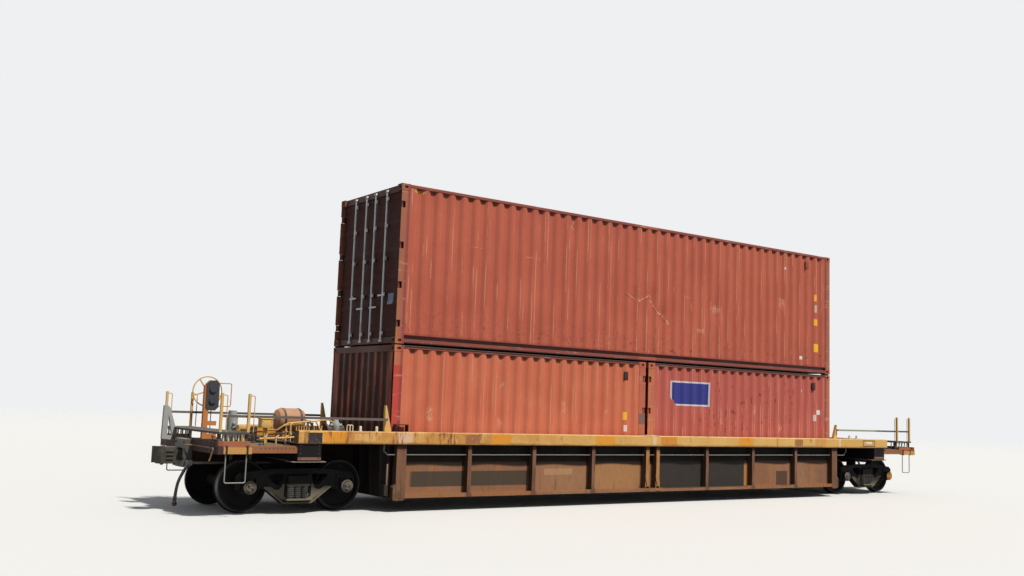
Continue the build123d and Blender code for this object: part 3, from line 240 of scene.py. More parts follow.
# Repainted fields and marks on the chords' outer faces, as (left, right, low, high, colour, strength)
ORANGE = (222, 146, 40)
CHORD_MARKS = (
    (-7.5, -7.06, 1.172, 1.375, ORANGE, 0.9), (-4.115, -3.66, 1.19, 1.36, ORANGE, 0.85),
    (-1.6, -1.1, 1.19, 1.36, ORANGE, 0.9), (0.173, 0.638, 1.19, 1.365, (206, 128, 44), 0.85),
    (2.554, 3.014, 1.185, 1.37, ORANGE, 0.9), (-6.1, -5.8, 1.18, 1.37, (226, 190, 168), 0.6),
    (-4.688, -4.382, 1.19, 1.35, (146, 92, 66), 0.85), (4.461, 4.748, 1.2, 1.35, (140, 92, 62), 0.85),
    (6.093, 6.17, 1.17, 1.375, (224, 200, 160), 0.8), (-0.05, 0.05, 1.165, 1.38, (228, 196, 150), 0.8),
    (-7.768, -7.53, 1.18, 1.345, (46, 43, 44), 1.0), (-7.85, -7.768, 1.165, 1.375, (150, 100, 60), 0.7),
    (3.82, 3.87, 1.17, 1.375, (176, 116, 58), 0.7), (5.2, 5.6, 1.17, 1.375, (190, 120, 60), 0.5),
    (-6.93, -6.52, 1.23, 1.34, (228, 180, 112), 0.6),
)


def chord_marks(s):
    """Repainted fields, rust that runs down, painted shade on the chords' end faces, and their darker lower
    edges.
    """
    stain = s.noise(2.6, 6, 0.7, seed=22).step(0.34, 0.6) * s.x.step(-1.0, -4.4)
    s.coat((184, 120, 58), stain * 0.75)
    for *field, tone, strength in CHORD_MARKS:
        worn = s.noise(22, 5, 0.65, seed=field[0] + 9).step(0.25, 0.45)
        s.coat(tone, s.patch(*field, 0.005) * worn * strength)
    drip = s.noise(16, 6, 0.7, seed=12, tall=7)
    runs = s.x.inside(-5.5, -4.8, 0.15) * drip.step(0.49, 0.57)
    runs |= s.x.inside(-8.0, -5.5, 0.3) * drip.step(0.52, 0.64) * 0.9
    ticks = s.noise(11, 5, 0.7, seed=14, tall=3.5).step(0.61, 0.66) * s.z.step(1.2, 1.3)
    s.coat((116, 58, 36), (runs | ticks * 0.8) * 0.85)
    # Painted shade on the chords' end faces
    s.coat((46, 36, 32), s.facing_both(1) * s.ax.step(7.93, 7.94) * 0.9)
    low = s.z + s.noise(5, 6, 0.75, seed=13, long=2.5) * -0.12
    s.coat((118, 76, 46), low.step(1.16, 1.1) * 0.75)
    grit = s.noise(19, 6, 0.75, seed=21, long=2.2).step(0.56, 0.64)
    rims = s.z.step(1.2, 1.17) | s.z.step(1.355, 1.372)
    s.coat((104, 62, 38), grit * rims * 0.75)
    s.coat((44, 32, 26), s.z.step(1.17, 1.163) * 0.85)


# Repainted dark fields on the side sheets, as (left, right, low, high, colour, strength)
SIDE_MARKS = (
    (-5.74, -3.15, 0.42, 0.69, (66, 61, 53), 0.9), (0.3, 2.9, 0.3, 0.86, (56, 52, 49), 1.0),
    (3.99, 4.38, 0.3, 0.62, (66, 54, 46), 0.8), (2.915, 3.05, 0.3, 0.75, (186, 122, 62), 0.8),
    (-5.84, -5.7, 0.3, 0.8, (148, 104, 72), 0.4), (-3.02, -1.68, 0.29, 0.8, (162, 118, 84), 0.5),
    (-1.52, -0.27, 0.31, 0.8, (176, 128, 80), 0.6), (-2.75, -2.05, 0.6, 0.72, (184, 146, 108), 0.6),
)


def side_marks(s):
    """Dark repainted fields, dust low down, painted shade beside the posts and the chord's painted shadow
    with its wavy edge.
    """
    s.coat((150, 100, 66), s.noise(1.6, 5, 0.65, seed=15).step(0.42, 0.7) * 0.45)
    off_post = (s.ax - TWIN_POST).math("PINGPONG", POST_PITCH / 2)
    edges = off_post.step(0.64, 0.7) | s.z.step(0.36, 0.32)
    s.coat((160, 108, 66), edges * s.ax.step(3.0, 3.1, 0.2, 0.5))
    for *field, tone, strength in SIDE_MARKS:
        worn = s.noise(16, 6, 0.7, seed=field[0] + 20).step(0.16, 0.4, 0.55, 1.0)
        s.coat(tone, s.patch(*field, 0.008) * s.near * worn * strength)
    s.coat((84, 56, 42), s.noise(30, 5, 0.7, seed=18, tall=7).step(0.5, 0.7) * 0.35)
    # Painted shade on the sheets close beside the posts
    s.coat((58, 42, 34), off_post.step(0.1, 0.02) * 0.6)
    # Painted shadow of the chord, with a wavy lower edge, and painted shade on the sheets' inner faces under
    # the chord
    wavy = (s.x * 4.27).math("SINE") * 0.018 + s.noise(1.3, 3, 0.5, seed=16) * 0.05
    under = s.ay.step(1.3, 1.29) * s.z.step(1.16, 1.159) * s.ax.step(6.21, 6.2)
    shade = (s.z - wavy).step(0.735, 0.785) | under
    s.coat(PAINTED_SHADE, shade * s.z.step(0.7, 1.0, 0.9, 0.99))


def post_marks(s):
    """The twin posts in the middle are a lighter orange; all carry painted shade under the chord and on their
    sides, and darken at their feet.
    """
    s.coat((188, 132, 76), s.ax.step(0.5, 0.4) * 0.8)
    s.coat((74, 50, 40), s.noise(24, 5, 0.7, seed=19, tall=9).step(0.5, 0.62) * 0.5)
    # Painted shade under the chord
    s.coat(GRIME_AND_SHADE, s.z.step(1.02, 1.14) * 0.75)
    # Painted shade on the sides facing along the car
    s.coat((48, 36, 30), s.facing_both(1) * 0.8)
    s.coat((84, 64, 50), s.noise(5, 5, 0.7, seed=17).step(0.4, 0.6) * s.z.step(0.55, 0.3) * 0.6)


def sill_marks(s):
    """Dark end sill, yellow-tan bars of the step brackets, dark deck."""
    s.coat((74, 54, 54), s.ax.step(9.182, 9.186))
    s.coat((196, 146, 84), s.ay.step(1.4515, 1.453) * s.z.step(1.104, 1.099))
    plate = s.ax.step(8.55, 8.6) * s.z.step(1.12, 1.122) * s.ay.step(1.36, 1.37)
    s.coat((170, 98, 66), plate * 0.7)
    s.coat((46, 42, 40), s.facing(3) * s.ay.step(1.43, 1.42) * 0.9)


def bolster_marks(s):
    """A brown band on the bolsters' ends, and the light plate under them."""
    s.coat((140, 96, 80), s.z.inside(0.9, 0.945, 0.003) * s.ay.step(1.46, 1.465))
    s.coat((128, 124, 118), s.z.step(0.879, 0.876) * s.z.step(0.86, 0.8625))


def draft_marks(s):
    """Light grey striker with a darker side; the sill behind it is brown."""
    striker = s.ax.step(9.262, 9.266)
    s.coat((150, 150, 146), striker)
    s.coat((62, 58, 56), striker * s.ay.step(0.258, 0.2595) * 0.8)


def guide_marks(s):
    """The open corner brackets are nearly black, the guides in the middle are pale."""
    s.coat((44, 32, 28), s.ax.inside(5.79, 6.075, 0.002) * s.z.step(1.379, 1.381))
    s.coat((226, 196, 152), s.ax.step(0.1, 0.09))


def rail_marks(s):
    """The near rail is light where it runs beside the well's end."""
    s.coat((146, 150, 134), s.x.inside(6.2, 7.75, 0.1) * s.near)


def brake_marks(s):
    """Dark gear housing on its orange stand, yellow guard rod."""
    housing = s.x.inside(-8.64, -8.392, 0.001) * s.z.inside(1.62, 2.175, 0.001) * s.y.step(1.148, 1.146)
    stand = s.x.step(-8.572, -8.574) * s.y.step(1.063, 1.066)
    s.coat((62, 62, 66), housing * (stand * -1.0 + 1.0))
    s.coat((206, 150, 52), s.x.step(-8.39, -8.385))


def lever_marks(s):
    s.coat((96, 78, 56), s.noise(3, 4, 0.6, seed=4).step(0.4, 0.6))


def truck_marks(s):
    """Dry dust on the tension members and the spring seat, which stand proud of the side frames."""
    proud = s.ay.step(1.0735, 1.0745) * s.z.step(0.5, 0.47) * abs(s.ax - TRUCK_X).step(0.66, 0.64)
    s.coat((118, 110, 94), proud * s.noise(6, 5, 0.6, seed=9).step(0.2, 0.5, 0.55, 0.95))


def coupler_marks(s):
    """Lightening slots in the sides of the coupler's head, painted near-black as the shade inside them."""
    slots = s.z.inside(0.806, 0.836) + s.z.inside(0.87, 0.9) + s.z.inside(0.934, 0.964)
    s.coat((14, 13, 12), slots * s.ax.inside(9.53, 9.66, 0.006) * s.facing_both(2))


def wheel_marks(s):
    """Bright running tread, a pale line of dust on the rim's edge."""
    across, height = abs(abs(s.ax - TRUCK_X) - HALF_WHEELBASE), s.z - AXLE_Z
    reach = (across * across + height * height).math("SQRT")
    tread = reach.step(0.4135, 0.4145) * s.ay.inside(0.715, 0.815)
    s.coat((104, 100, 96), tread)
    s.coat((112, 112, 110), reach.inside(0.402, 0.416, 0.002) * s.ay.step(0.8165, 0.8175) * 0.6)
    s.rough = s.mix(tread, s.rough, (0.45, 0.45, 0.45, 1))
    s.metal = tread * 0.6


# Blank stickers on the container walls, as (x, z, width, height, colour, strength), and worn places
# as (x, z, width, height)
YELLOW = (232, 176, 42)
LABELS_40 = (
    (5.565, 4.774, 0.11, 0.16, YELLOW, 0.95), (5.589, 4.51, 0.13, 0.18, (196, 184, 176), 0.8),
    (5.59, 4.178, 0.17, 0.16, YELLOW, 0.95), (5.603, 3.553, 0.2, 0.2, (236, 184, 46), 0.95),
    (5.032, 3.286, 0.14, 0.08, (226, 220, 214), 0.9), (4.43, 5.39, 0.05, 0.06, (214, 214, 210), 0.8),
)
SCUFFS_40 = (
    (-0.54, 4.289, 0.14, 0.03), (-0.23, 4.2, 0.13, 0.04), (0.05, 4.32, 0.13, 0.05), (0.34, 3.97, 0.16, 0.05),
    (0.6, 3.78, 0.12, 0.06), (-2.09, 5.55, 0.1, 0.22), (1.2, 4.4, 0.2, 0.03), (2.1, 4.2, 0.3, 0.16),
    (-4.4, 4.85, 0.3, 0.02), (-3.1, 4.8, 0.5, 0.015), (4.35, 4.55, 0.22, 0.3), (1.6, 3.7, 0.2, 0.1),
)
LABELS_20 = (
    (5.686, 1.996, 0.16, 0.11, (230, 224, 218), 0.9), (5.546, 1.861, 0.1, 0.15, (222, 208, 200), 0.8),
    (-0.589, 1.772, 0.1, 0.16, (234, 186, 50), 0.95), (-0.573, 1.519, 0.09, 0.13, (222, 214, 206), 0.85),
    (5.05, 2.5, 0.03, 0.05, (220, 214, 206), 0.8),
)
SCUFFS_20 = (
    (-3.7, 2.3, 0.12, 0.14), (-3.75, 1.55, 0.12, 0.2), (-2.2, 1.9, 0.14, 0.3), (-5.3, 1.7, 0.16, 0.25),
    (-1.1, 1.85, 0.1, 0.1), (1.7, 2.3, 0.1, 0.3), (2.3, 1.8, 0.1, 0.4), (3.4, 2.0, 0.12, 0.3),
    (4.3, 1.6, 0.14, 0.2),
)
# The torn crease across the upper container's dented wall, as points (x, z)
CREASE = (
    (-0.64, 4.34), (-0.45, 4.27), (-0.2, 4.19), (0.02, 4.33),
    (0.13, 4.18), (0.3, 3.98), (0.44, 3.95), (0.62, 3.75),
)


def crease_marks(s):
    """Bare bright scratches with a dark lower lip along the crease."""
    wander = (s.noise(7, 6, 0.8, seed=61) - 0.5) * 0.16
    broken = s.noise(11, 6, 0.8, seed=62).step(0.49, 0.54)
    for (x0, z0), (x1, z1) in zip(CREASE, CREASE[1:]):
        length = math.hypot(x1 - x0, z1 - z0)
        c, d = (x1 - x0) / length, (z1 - z0) / length
        along = s.x * c + s.z * d - (x0 * c + z0 * d)
        across = s.z * c - s.x * d + (x0 * d - z0 * c) + wander
        line = along.inside(0.0, length, 0.02) * s.near * broken
        s.coat((84, 34, 28), line * across.inside(-0.04, -0.01, 0.01) * 0.75)
        s.coat((224, 172, 142), line * across.inside(-0.01, 0.015, 0.01) * 0.95)


def wall_marks(s, labels, scuffs, first, pair, base, tall):
    """Rubbed folds, scuffs, rust low down and blank stickers on the walls of one layer of containers, with
    painted shade under the top rail, over the ends and below the chord.
    """
    along, side = s.x, s.ay.step(1.1, 1.12)
    if pair:
        along, other = s.ax, s.x.step(-0.01, 0.01)
        s.coat((178, 88, 78), other * 0.85)
        dabs = s.noise(13, 4, 0.6, seed=31, tall=2.2).step(0.61, 0.64) * other
        s.coat((122, 36, 32), dabs * s.z.inside(1.45, 2.6, 0.2) * s.x.inside(1.6, 4.8, 0.4) * 0.8)
    start = FOLD_PITCH * 30 - first + FOLD_PITCH / 2 - FOLD_FLAT / 2
    off_crest = abs((along + start).math("MODULO", FOLD_PITCH) - FOLD_PITCH / 2)
    fold = abs(off_crest - FOLD_FLAT / 2).step(0.015, 0.004)
    valley = off_crest.step(0.07, 0.1) * side
    rubbed = s.noise(4.5, 6, 0.7, seed=33, tall=4).step(0.56, 0.66)
    s.coat((214, 140, 110), fold * rubbed * side * 0.5)
    if pair:
        faint = other * s.z.step(2.2, 1.9) * s.noise(6, 4, 0.6, seed=32, tall=5).step(0.42, 0.55)
        s.coat((222, 160, 146), fold * faint * side * 0.4)
    s.coat((116, 50, 38), valley * 0.05)
    # Painted shade in the valleys just under the top rail
    s.coat((50, 24, 20), s.z.step(base + tall - 0.15, base + tall - 0.1) * valley * 0.7)
    s.coat((216, 150, 120), s.noise(13, 7, 0.8, seed=38, tall=11).step(0.62, 0.67) * side * 0.62)
    drawn = s.noise(7, 4, 0.6, seed=39, tall=9, long=0.6).step(0.53, 0.6) * fold * side
    s.coat((210, 146, 116), drawn * 0.68)
    s.coat((108, 42, 33), s.noise(36, 5, 0.7, seed=34).step(0.66, 0.71) * 0.65)
    low = s.z.step(base + 0.85, base + 0.3) * s.noise(12, 7, 0.78, seed=35).step(0.54, 0.62)
    s.coat((104, 60, 46), low * 0.75)
    foot = s.z + s.noise(4, 4, 0.6, seed=36) * -0.1
    s.coat((92, 50, 40), foot.step(base + 0.17, base + 0.11) * 0.45)
    if not pair:
        crease_marks(s)
        rag = s.patch(-5.86, -5.6, 5.7, 5.74, 0.01) * s.near
        s.coat((206, 170, 60), rag * s.noise(30, 3, 0.5, seed=63).step(0.45, 0.5))
    for x, z, wide, high in scuffs:
        off_x, off_z = (s.x - x) * (1.4 / wide), (s.z - z) * (1.4 / high)
        ragged = s.noise(26, 7, 0.8, seed=x + 40, tall=1.8) + (off_x * off_x + off_z * off_z) * -0.14
        s.coat((210, 150, 120), ragged.step(0.46, 0.51) * s.near * 0.8)
    if pair:
        corner = s.x + s.z + s.noise(5, 6, 0.7, seed=64) * 0.3
        torn = corner.step(3.06, 3.08) * s.near
        s.coat((208, 200, 206), s.patch(0.73, 1.92, 2.03, 2.56, 0.004) * torn)
        s.coat((48, 52, 126), s.patch(0.765, 1.885, 2.065, 2.525, 0.004) * torn)
    for x, z, wide, high, tone, strength in labels:
        label = s.patch(x - wide / 2, x + wide / 2, z - high / 2, z + high / 2, 0.003)
        s.coat(tone, label * s.near * strength)
    # Ends painted nearly black as shade, with rust down their outer crests
    end = s.ax.step(5.99, 6.0) * s.ay.step(1.16, 1.15)
    s.coat((26, 15, 14), end * 0.95)
    rusty = s.noise(10, 5, 0.7, seed=37, tall=12).step(0.4, 0.62)
    s.coat((176, 84, 50), end * s.ax.step(6.072, 6.084) * rusty * 0.95)
    # Painted shade below the chord
    s.coat(PAINTED_SHADE, s.z.step(1.36, 1.28) * 0.96)


def frame_marks(s, post_tone, pair):
    """Corner posts and rails: scraped tan and rust on the posts, dark scrapes along the rails, and painted
    shade on the end faces, at the rails' recess and lips, and below the chord.
    """
    post = s.ax.step(5.99, 6.03)
    wear = s.noise(6, 6, 0.7, seed=41, tall=4).step(0.36, 0.6)
    s.coat(post_tone, post * (wear * 0.45 + 0.4))
    s.coat((196, 118, 58), post * s.noise(20, 5, 0.7, seed=42, tall=9).step(0.54, 0.66) * 0.8)
    if pair:
        s.coat((186, 64, 58), s.x.step(-5.9, -5.91) * s.z.step(2.56, 2.54) * s.near * 0.9)
        s.coat((190, 116, 74), s.x.inside(0.03, 0.22) * wear * 0.9)
        s.coat((96, 88, 82), s.patch(-0.216, -0.03, 1.61, 1.83, 0.01) * s.near * 0.8)
    s.coat((112, 54, 50), s.ax.inside(0.24, 5.97, 0.02) * 0.62)
    s.coat((204, 150, 128), s.noise(9, 6, 0.75, seed=43, long=6).step(0.56, 0.64) * 0.45)
    s.coat((60, 34, 29), s.ay.step(1.165, 1.16) * 0.5)
    # Painted shade on the faces at the ends that face along the car
    s.coat((62, 30, 25), s.facing_both(1) * s.ax.step(5.9, 5.95) * 0.85)
    if pair:
        # Painted shade on the tops of the lower rails, under the upper container
        s.coat(PAINTED_SHADE, s.z.step(2.866, 2.874) * s.ax.inside(0.23, 5.9, 0.01) * 0.9)
        # Painted shade below the chord
        s.coat(PAINTED_SHADE, s.z.step(1.38, 1.3) * 0.95)
    else:
        # Painted shade in the recess of the upper container's bottom rail
        s.coat((52, 26, 24), s.z.inside(3.03, 3.085, 0.006) * s.ax.step(5.93, 5.92) * 0.75)
        # Painted shade on the bottom rail's lower lip
        s.coat(PAINTED_SHADE, s.z.step(2.972, 2.962) * s.ax.step(5.92, 5.9) * 0.85)


def door_marks(s):
    """Pale lock rods and their keepers, dark gaskets round the leaves, one blank sticker."""
    worn = s.noise(14, 5, 0.65, seed=51, tall=4).step(0.3, 0.5, 0.6, 1.0)
    s.coat((246, 246, 250), s.x.step(-6.043, -6.046) * s.ay.inside(0.13, 0.7, 0.01) * worn)
    gasket = s.ay.step(1.125, 1.128) | s.ay.step(0.02, 0.017) | s.z.step(3.08, 3.077) | s.z.step(5.689, 5.692)
    s.coat((20, 18, 18), gasket * s.x.step(-6.05, -6.04) * 0.85)
    s.coat((128, 78, 60), s.ay.step(1.164, 1.168) * 0.8)
    sticker = s.y.inside(-0.92, -0.72, 0.003) * s.z.inside(3.66, 3.86, 0.003) * s.x.step(-6.0, -6.01)
    s.coat((160, 178, 206), sticker * 0.8)


# Paints: base and faded colour, shares of rust, streaks, grime and dust, roughness, marks, shine
PAINTS = {
    "chord_paint": ((210, 162, 88), (218, 176, 106), 0.9, 0.35, 0.2, 0.3, 0.6, chord_marks),
    "side_paint": ((134, 96, 75), (154, 114, 88), 0.7, 0.45, 0.5, 0.5, 0.75, side_marks, 0.12),
    "sill_paint": ((140, 92, 64), (156, 106, 76), 0.9, 0.4, 0.4, 0.4, 0.7, sill_marks, 0.2),
    "post_paint": ((116, 82, 63), (134, 97, 75), 0.8, 0.5, 0.5, 0.3, 0.75, post_marks, 0.15),
    "yellow_paint": ((208, 162, 88), (216, 178, 112), 0.9, 0.4, 0.4, 0.2),
    "grey_paint": ((134, 134, 130), (150, 149, 143), 0.6, 0.4, 0.4, 0.3),
    "box40_paint": ((174, 87, 66), (184, 95, 72), 0.5, 0.4, 0.14, 0.3, 0.6,
                    lambda s: wall_marks(s, LABELS_40, SCUFFS_40, -5.874, False, UPPER_Z, UPPER_TALL)),
    "box20_paint": ((194, 103, 74), (202, 114, 84), 0.5, 0.4, 0.14, 0.3, 0.6,
                    lambda s: wall_marks(s, LABELS_20, SCUFFS_20, 0.251, True, LOWER_Z, LOWER_TALL)),
    # The doors' dark maroon is partly their own colour and partly painted shade for the door end
    "door_paint": ((52, 25, 22), (64, 31, 27), 0.5, 0.35, 0.4, 0.2, 0.7, door_marks, 0.15),
    "plywood": ((128, 92, 60), (146, 108, 74), 0.1, 0.3, 0.4, 0.2, 0.75),
    "box40_frame": ((160, 84, 68), (172, 98, 80), 0.8, 0.3, 0.3, 0.3, 0.6,
                    lambda s: frame_marks(s, (152, 102, 72), False)),
    "box20_frame": ((176, 92, 72), (188, 104, 82), 0.8, 0.3, 0.3, 0.3, 0.6,
                    lambda s: frame_marks(s, (174, 108, 78), True)),
    "walkway_paint": ((64, 64, 66), (82, 81, 80), 0.7, 0.2, 0.4, 0.25, 0.7, None, 0.2),
    "deck_paint": ((50, 45, 43), (66, 60, 56), 0.8, 0.3, 0.5, 0.1, 0.8, None, 0.12),
    "roof_paint": ((124, 62, 48), (148, 86, 68), 1.0, 0.5, 0.6, 0.22, 0.8, None, 0.12),
    "valve_paint": ((138, 144, 142), (158, 162, 160), 0.5, 0.4, 0.4, 0.3),
    "strip_paint": ((120, 104, 90), (140, 124, 108), 0.8, 0.4, 0.4, 0.4),
    "cream_paint": ((206, 190, 156), (222, 208, 178), 0.7, 0.4, 0.3, 0.2),
    "blank_plate": ((214, 204, 186), (226, 218, 202), 0.3, 0.3, 0.2, 0.1),
    "stand_paint": ((150, 151, 149), (172, 171, 166), 0.9, 0.6, 0.7, 0.3),
    "tank_paint": ((164, 112, 80), (184, 136, 104), 0.9, 0.3, 0.5, 0.3),
    "bolster_paint": ((24, 22, 24), (36, 32, 33), 0.6, 0.3, 0.5, 0.3, 0.8, bolster_marks, 0.12),
    "draft_paint": ((50, 40, 36), (64, 52, 46), 0.8, 0.3, 0.5, 0.4, 0.8, draft_marks, 0.15),
    "guide_paint": ((206, 160, 88), (216, 178, 112), 0.9, 0.3, 0.3, 0.2, 0.6, guide_marks),
    "rail_paint": ((90, 82, 76), (108, 98, 90), 0.8, 0.3, 0.4, 0.3, 0.6, rail_marks),
    "brake_paint": ((178, 104, 50), (190, 122, 68), 0.8, 0.3, 0.4, 0.2, 0.6, brake_marks),
    "lever_paint": ((132, 108, 76), (150, 124, 88), 0.9, 0.3, 0.4, 0.3, 0.6, lever_marks),
    "cap_orange": ((216, 144, 54), (206, 150, 84), 0.7, 0.3, 0.3, 0.2),
}
# Cast steel: base colour, dust's colour and share, roughness, marks
CASTINGS = {
    # Truck and wheel steel set near black: partly its own colour, partly painted shade for the shade under
    # the car
    "cast_steel": ((18, 18, 19), (84, 76, 66), 0.45, 0.75, truck_marks),
    "wheel_steel": ((18, 17, 17), (60, 52, 46), 0.4, 0.75, wheel_marks),
    "coupler_steel": ((66, 63, 56), (104, 98, 86), 0.5, 0.75, coupler_marks),
    "hose_rubber": ((40, 40, 40), (84, 80, 74), 0.4, 0.6),
    "dark_steel": ((52, 46, 44), (120, 106, 90), 0.5),
    "spring_steel": ((112, 110, 106), (140, 136, 128), 0.3),
    "cap_steel": ((84, 79, 71), (116, 108, 96), 0.3),
}
FINISHES = {name: painted(name, *row) for name, row in PAINTS.items()}
FINISHES.update({name: cast_metal(name, *row) for name, row in CASTINGS.items()})

# Solids with a finish other than their slot's own
SPECIAL = {
    "walkway_paint": "walkways", "deck_paint": "deck_plates floor_beams end_bulkheads",
    "dark_steel": "brake_cylinder", "roof_paint": "box40_roof box20_roofs", "stand_paint": "end_stand",
    "valve_paint": "control_valve", "tank_paint": "air_reservoir", "bolster_paint": "body_bolsters",
    "draft_paint": "draft_sills", "guide_paint": "container_guides", "rail_paint": "hand_rails",
    "brake_paint": "handbrake_stand", "lever_paint": "uncoupling_levers",
    "box40_frame": "box40_posts box40_rails", "box20_frame": "box20_posts box20_doors box20_rails",
    "coupler_steel": "coupler_b coupler_a",
}
special_of = {node: finish for finish, names in SPECIAL.items() for node in names.split()}
for part in frame["record"]["subparts"]:
    mesh = nodes[part["node"]].data
    mesh.materials.clear()
    mesh.materials.append(FINISHES[special_of.get(part["node"], part["material_slot"])])


# Forms that the pieces are built from
def block(form, low, high, bevel=0.004):
    """A box with rounded edges between two opposite corners."""
    made = bmesh.ops.create_cube(form, size=1.0)["verts"]
    for vertex in made:
        vertex.co = Vector([(a + b) / 2 + c * abs(b - a) for a, b, c in zip(low, high, vertex.co)])
    edges = list(dict.fromkeys(e for v in made for e in v.link_edges))
    bmesh.ops.bevel(form, geom=edges, offset=bevel, segments=2, profile=0.5, affect="EDGES")


def stood(form, x, y, half_x, half_y, low, high, bevel=0.004):
    """A block round an upright line, from one height to another."""
    block(form, (x - half_x, y - half_y, low), (x + half_x, y + half_y, high), bevel)


def ring_frame(direction):
    """Two directions square to a third."""
    along = Vector(direction).normalized()
    side = along.cross(Vector(UP) if abs(along.z) < 0.9 else Vector(ALONG)).normalized()
    return along, side, side.cross(along)


def round_about(count, radius, first=0):
    """Places on a circle, from a first angle in degrees."""
    turns = [math.radians(first + 360 * i / count) for i in range(count)]
    return [(math.cos(t) * radius, math.sin(t) * radius) for t in turns]


def ring(form, centre, side, other, radius, sides):
    """A circle of vertices."""
    return [form.verts.new(centre + side * a + other * b) for a, b in round_about(sides, radius)]


def skin(form, rings):
    """Quads between rings of vertices, with caps on the ends."""
    for a, b in zip(rings, rings[1:]):
        for i in range(len(a)):
            j = (i + 1) % len(a)
            form.faces.new((a[i], a[j], b[j], b[i]))
    form.faces.new(list(reversed(rings[0])))
    form.faces.new(rings[-1])


def turned(form, start, direction, profile, sides=24):
    """A solid of revolution from (distance along the axis, radius) rows."""
    along, side, other = ring_frame(direction)
    skin(form, [ring(form, Vector(start) + along * d, side, other, radius, sides) for d, radius in profile])


def disc(form, start, direction, radius, length, sides):
    turned(form, start, direction, ((0, radius), (length, radius)), sides)


def band(form, start, direction, inner, outer, width, sides=24):
    """A flat ring round a pipe or tank."""
    turned(form, start, direction, ((0, inner), (0, outer), (width, outer), (width, inner)), sides)


def bent(points, radius, steps=5):
    """A line with its corners rounded."""
    points = [Vector(p) for p in points]
    line = [points[0]]
    for a, b, c in zip(points, points[1:], points[2:]):
        u, v = (a - b).normalized(), (c - b).normalized()
        half = max(u.angle(v) / 2, 0.05)
        reach = min(radius / math.tan(half), 0.49 * (a - b).length, 0.49 * (c - b).length)
        for i in range(steps + 1):
            t = i / steps
            line.append((b + u * reach) * (1 - t) ** 2 + b * (2 * t * (1 - t)) + (b + v * reach) * t**2)
    return line + [points[-1]]


def pipe(form, points, radius, bend=0.05, sides=10):
    """A round pipe or rod along points."""
    line = bent(points, bend) if bend else [Vector(p) for p in points]
    side = ring_frame(line[1] - line[0])[1]
    rings = []
    for i, point in enumerate(line):
        along = (line[min(i + 1, len(line) - 1)] - line[max(i - 1, 0)]).normalized()
        side = (side - along * side.dot(along)).normalized()
        rings.append(ring(form, point, side, side.cross(along), radius, sides))
    skin(form, rings)


def bolt(form, place, direction, radius=0.014, height=0.011):
    """A hexagon head on a washer."""
    turned(form, place, direction, ((0, radius * 1.35), (0.002, radius * 1.35), (0.002, radius * 1.3)), 16)
    turned(form, Vector(place) + Vector(direction).normalized() * 0.002, direction,
           ((0, radius), (height * 0.8, radius), (height, radius * 0.82)), 6)


def rivet(form, place, direction, radius=0.012):
    turned(form, place, direction, ((0, radius), (radius * 0.35, radius * 0.92), (radius * 0.6, radius * 0.6),
                                    (radius * 0.7, radius * 0.15)), 10)


def prism(form, corners, y0, y1):
    """A flat plate: corners (x, z) drawn out from y0 to y1."""
    skin(form, [[form.verts.new((x, y, z)) for x, z in corners] for y in (y0, y1)])


def piece(name, form, slot, body="car", finish=None, stands_for=(), smooth=35):
    """Turns a form into a piece that rides a body and takes its finish from a slot."""
    bmesh.ops.recalc_face_normals(form, faces=form.faces)
    mesh = bpy.data.meshes.new(name)
    form.to_mesh(mesh)
    form.free()
    mesh.shade_smooth()
    mesh.set_sharp_from_angle(angle=math.radians(smooth))
    made = add_object(name, mesh)
    mesh.materials.append(FINISHES[finish or slot])
    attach(made, body)
    if stands_for:
        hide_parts(*stands_for)
    return made


# Air hoses: hanging rubber hoses with their clamps and coupling heads
HOSE_D = 0.05
HOSE_ROUTE = ((9.3775, 0.70773), (9.4625, 0.56051), (9.50936, 0.39709), (9.52122, 0.22751))
COLLAR = ((0, 0.0275), (0.002, 0.031), (0.068, 0.031), (0.072, 0.027), (0.1, 0.024))
HEAD = ((0, 0.02), (0.004, 0.036), (0.034, 0.04), (0.046, 0.036), (0.05, 0.028), (0.05, 0.018), (0.04, 0.016))
for end, side in ENDS:
    points = [Vector((end * x, end * 0.33, z)) for x, z in HOSE_ROUTE]
    curve = bpy.data.curves.new(f"hose_{side}", "CURVE")
    curve.dimensions = "3D"
    curve.bevel_depth = HOSE_D / 2
    curve.bevel_resolution = 6
    curve.resolution_u = 16
    curve.use_fill_caps = True
    line = curve.splines.new("NURBS")
    line.points.add(len(points) - 1)
    for point, place in zip(line.points, points):
        point.co = (*place, 1)
    line.order_u = 3
    line.use_endpoint_u = True
    hose = add_object(f"hose_{side}", curve)
    curve.materials.append(FINISHES["hose_rubber"])
    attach(hose, "car")
    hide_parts(f"air_hose_{side}")

    top, tip = points[0], points[-1]
    out, down = (points[1] - top).normalized(), (tip - points[-2]).normalized()
    face = Vector((0, end, 0))
    eye = tip + down * 0.088 + face * 0.012
    form = bmesh.new()
    turned(form, tip - down * 0.03, down, COLLAR)
    turned(form, eye - face * 0.026, face, HEAD, 28)
    block(form, eye + Vector((-0.014, -0.02, -0.028)), eye + Vector((0.014, 0.04, 0.0)), 0.006)
    head = piece(f"coupling_head_{side}", form, "cast_steel", "car", "dark_steel", ("hose_couplings",))
    form = bmesh.new()
    for along in (-0.07, -0.03):
        band(form, top + out * along, out, 0.0322, 0.0345, 0.014)
        bolt(form, top + out * (along + 0.007) + Vector((0, -0.034, 0)), NEARWARD, 0.007, 0.008)
    band(form, tip - down * 0.06, down, 0.0262, 0.029, 0.014)
    piece(f"hose_clamps_{side}", form, "grey_paint", finish="dark_steel")


